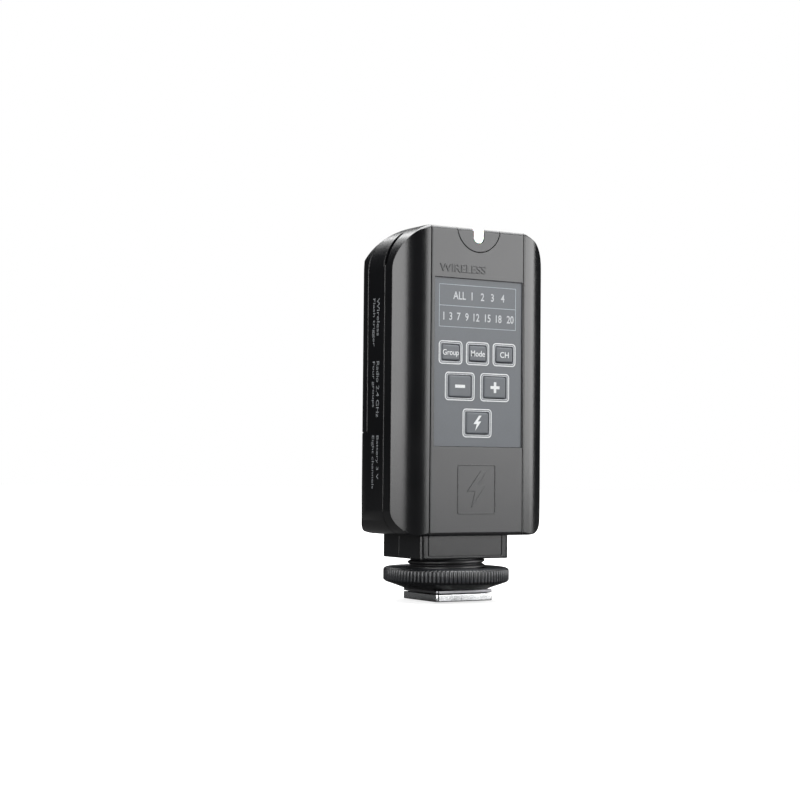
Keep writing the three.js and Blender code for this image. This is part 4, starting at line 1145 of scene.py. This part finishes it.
leaf = rounded_prism(foot_outline, "z", CLAMP.low, CLAMP.high, 0.12, 0.18, 4)
window = rounded_rect(
    -CLAMP.half, CLAMP.half, FOOT_Y - CLAMP.half_length, FOOT_Y + CLAMP.half_length, 1.2
)
cut(leaf, prism(window, "z", 0, FAR))
place(leaf, "clamp_leaf", "clamp", LEAF_STEEL, ["clamp_plate"])

sole = rounded_prism(foot_outline, "z", 0, FOOT.thickness, 0.28, 0.12)
cut(sole, cylinder("z", 0, FOOT_Y, CONTACT.hole, -1, FAR, 64))
countersink = [(0, -1), (2.12, -1), (2.12, -0.01), (0.96, 1.25), (0.96, 30), (0, 30)]
for x, y in screw_places:
    cut(sole, lathe(countersink, 40, (x, y)))
place(sole, "shoe_plate", "foot", STEEL, ["shoe_foot"])

hole = CONTACT.radius + 0.1
sleeve = lathe(
    [
        (hole, 0.1), (hole + 0.15, 0), (CONTACT.sleeve - 0.15, 0), (CONTACT.sleeve, 0.15),
        (CONTACT.sleeve, 8.1), (2.1, 8.1), (2.1, 3), (hole, 3),
    ],
    64, (0, FOOT_Y),
)
place(sleeve, "contact_bush", "foot", DARK_PART, ["contact_insulator"])
tip = CONTACT.tip
pin = [(0, tip)] + [(math.sin(t), tip + 0.35 * (1 - math.cos(t))) for t in (0.3, 0.6, 0.9, 1.2, PI / 2)]
pin += [(CONTACT.radius, 3.05), (1.8, 3.05), (1.8, 3.8), (0, 3.8)]
place(lathe(pin, 48, (0, FOOT_Y)), "contact_button", "contact", BRASS, ["contact_pin"])

remove(outer)
remove(inner)
remove(casing)

# ---- stage, light and camera ----


def pale_floor():
    """Pale paper with a faint tooth, lit up to white away from the object, which itself sees dark felt."""
    n = Nodes("pale_floor")
    tooth = n.noise(900, 3)
    distance = n.add("ShaderNodeVectorMath", operation="LENGTH")
    n.link(n.place, distance.inputs[0])
    n.tree.nodes.remove(n.shader)
    paper = n.add("ShaderNodeBsdfDiffuse")
    n.link(n.spread(tooth, 0.3, 0.7, 0.28, 0.33), paper.inputs["Color"])
    n.link(n.bump(tooth, 0.00002, 0.4), paper.inputs["Normal"])
    glow = n.add("ShaderNodeEmission")
    n.link(n.spread(distance.outputs["Value"], 0.03, 0.3, 0.78, 1.05), glow.inputs["Strength"])
    seen = n.add("ShaderNodeAddShader")
    n.link(paper.outputs[0], seen.inputs[0])
    n.link(glow.outputs[0], seen.inputs[1])
    felt = n.add("ShaderNodeBsdfDiffuse", {"Color": (0.035, 0.035, 0.035, 1)})
    choose = n.add("ShaderNodeMixShader")
    n.link(n.add("ShaderNodeLightPath").outputs["Is Camera Ray"], choose.inputs[0])
    n.link(felt.outputs[0], choose.inputs[1])
    n.link(seen.outputs[0], choose.inputs[2])
    n.link(choose.outputs[0], n.tree.nodes["Material Output"].inputs["Surface"])
    return n.material


floor_z = CONTACT.tip * MM - 0.0001
bm = bmesh.new()
bmesh.ops.create_circle(bm, cap_ends=True, radius=3, segments=96)
floor = from_bmesh("floor", bm)
floor.location = (0, 0, floor_z)
floor.data.materials.append(pale_floor())

target = Vector((0, 0, 0.0567))


def softbox(name, azimuth, elevation, distance, width, height, radiance):
    """A soft panel facing the object: azimuth 0 stands in front of the keypad and 90 on the +X side."""
    a, e = math.radians(azimuth), math.radians(elevation)
    away = Vector((math.sin(a) * math.cos(e), -math.cos(a) * math.cos(e), math.sin(e)))
    light = bpy.data.lights.new(name, "AREA")
    light.shape = "RECTANGLE"
    light.size = width
    light.size_y = height
    light.energy = radiance * PI * width * height
    holder = in_scene(name, light)
    holder.location = target + away * distance
    holder.rotation_euler = away.to_track_quat("Z", "Y").to_euler()


# Each panel's azimuth, elevation, distance, width, height and radiance.
softbox("front_softbox", 46, 5, 1.0, 1.10, 1.3, 6.2)
softbox("left_softbox", -67, 5, 1.0, 1.0, 1.3, 6.6)
softbox("top_softbox", 10, 84, 0.9, 1.0, 0.9, 11.0)
softbox("rim_softbox", 142, 50, 1.2, 1.2, 0.7, 4.2)
softbox("back_softbox", -165, 50, 1.3, 1.0, 0.7, 3.5)

# The camera sees a white room, and the object only a faint cool light from round about.
world = bpy.data.worlds.new("studio")
bpy.context.scene.world = world
world.use_nodes = True
tree = world.node_tree
tree.nodes.clear()
seen = tree.nodes.new("ShaderNodeBackground")
seen.inputs["Color"].default_value = (1, 1, 1, 1)
felt = tree.nodes.new("ShaderNodeBackground")
felt.inputs["Color"].default_value = (0.9, 0.95, 1, 1)
felt.inputs["Strength"].default_value = 0.03
path = tree.nodes.new("ShaderNodeLightPath")
choose = tree.nodes.new("ShaderNodeMixShader")
world_output = tree.nodes.new("ShaderNodeOutputWorld")
tree.links.new(path.outputs["Is Camera Ray"], choose.inputs[0])
tree.links.new(felt.outputs[0], choose.inputs[1])
tree.links.new(seen.outputs[0], choose.inputs[2])
tree.links.new(choose.outputs[0], world_output.inputs["Surface"])

bpy.context.scene.view_settings.view_transform = "Standard"
bpy.context.scene.view_settings.look = "None"

# Angles in degrees, the focal length in pixels of an 800-pixel picture, and the rest in metres.
CAMERA = Sizes(turn=31.37, rise=2.35, roll=0.52, focal=1726, across=-0.01341, lift=-0.00053, distance=0.4892)
PICTURE = 800
SENSOR = 36
turn = math.radians(CAMERA.turn)
rise = math.radians(CAMERA.rise)
roll = math.radians(CAMERA.roll)
ahead = Vector((math.sin(turn) * math.cos(rise), math.cos(turn) * math.cos(rise), math.sin(rise)))
level_right = Vector((math.cos(turn), -math.sin(turn), 0))
level_up = level_right.cross(ahead)
right = level_right * math.cos(roll) + level_up * math.sin(roll)
up = right.cross(ahead)
camera_data = bpy.data.cameras.new("camera")
camera_data.sensor_width = SENSOR
camera_data.lens = CAMERA.focal * SENSOR / PICTURE
camera_data.clip_start = 0.01
camera = in_scene("camera", camera_data)
basis = Matrix((right, up, -ahead)).transposed().to_4x4()
seat = target - ahead * CAMERA.distance + right * CAMERA.across + up * CAMERA.lift
camera.matrix_world = Matrix.Translation(seat) @ basis
bpy.context.scene.camera = camera
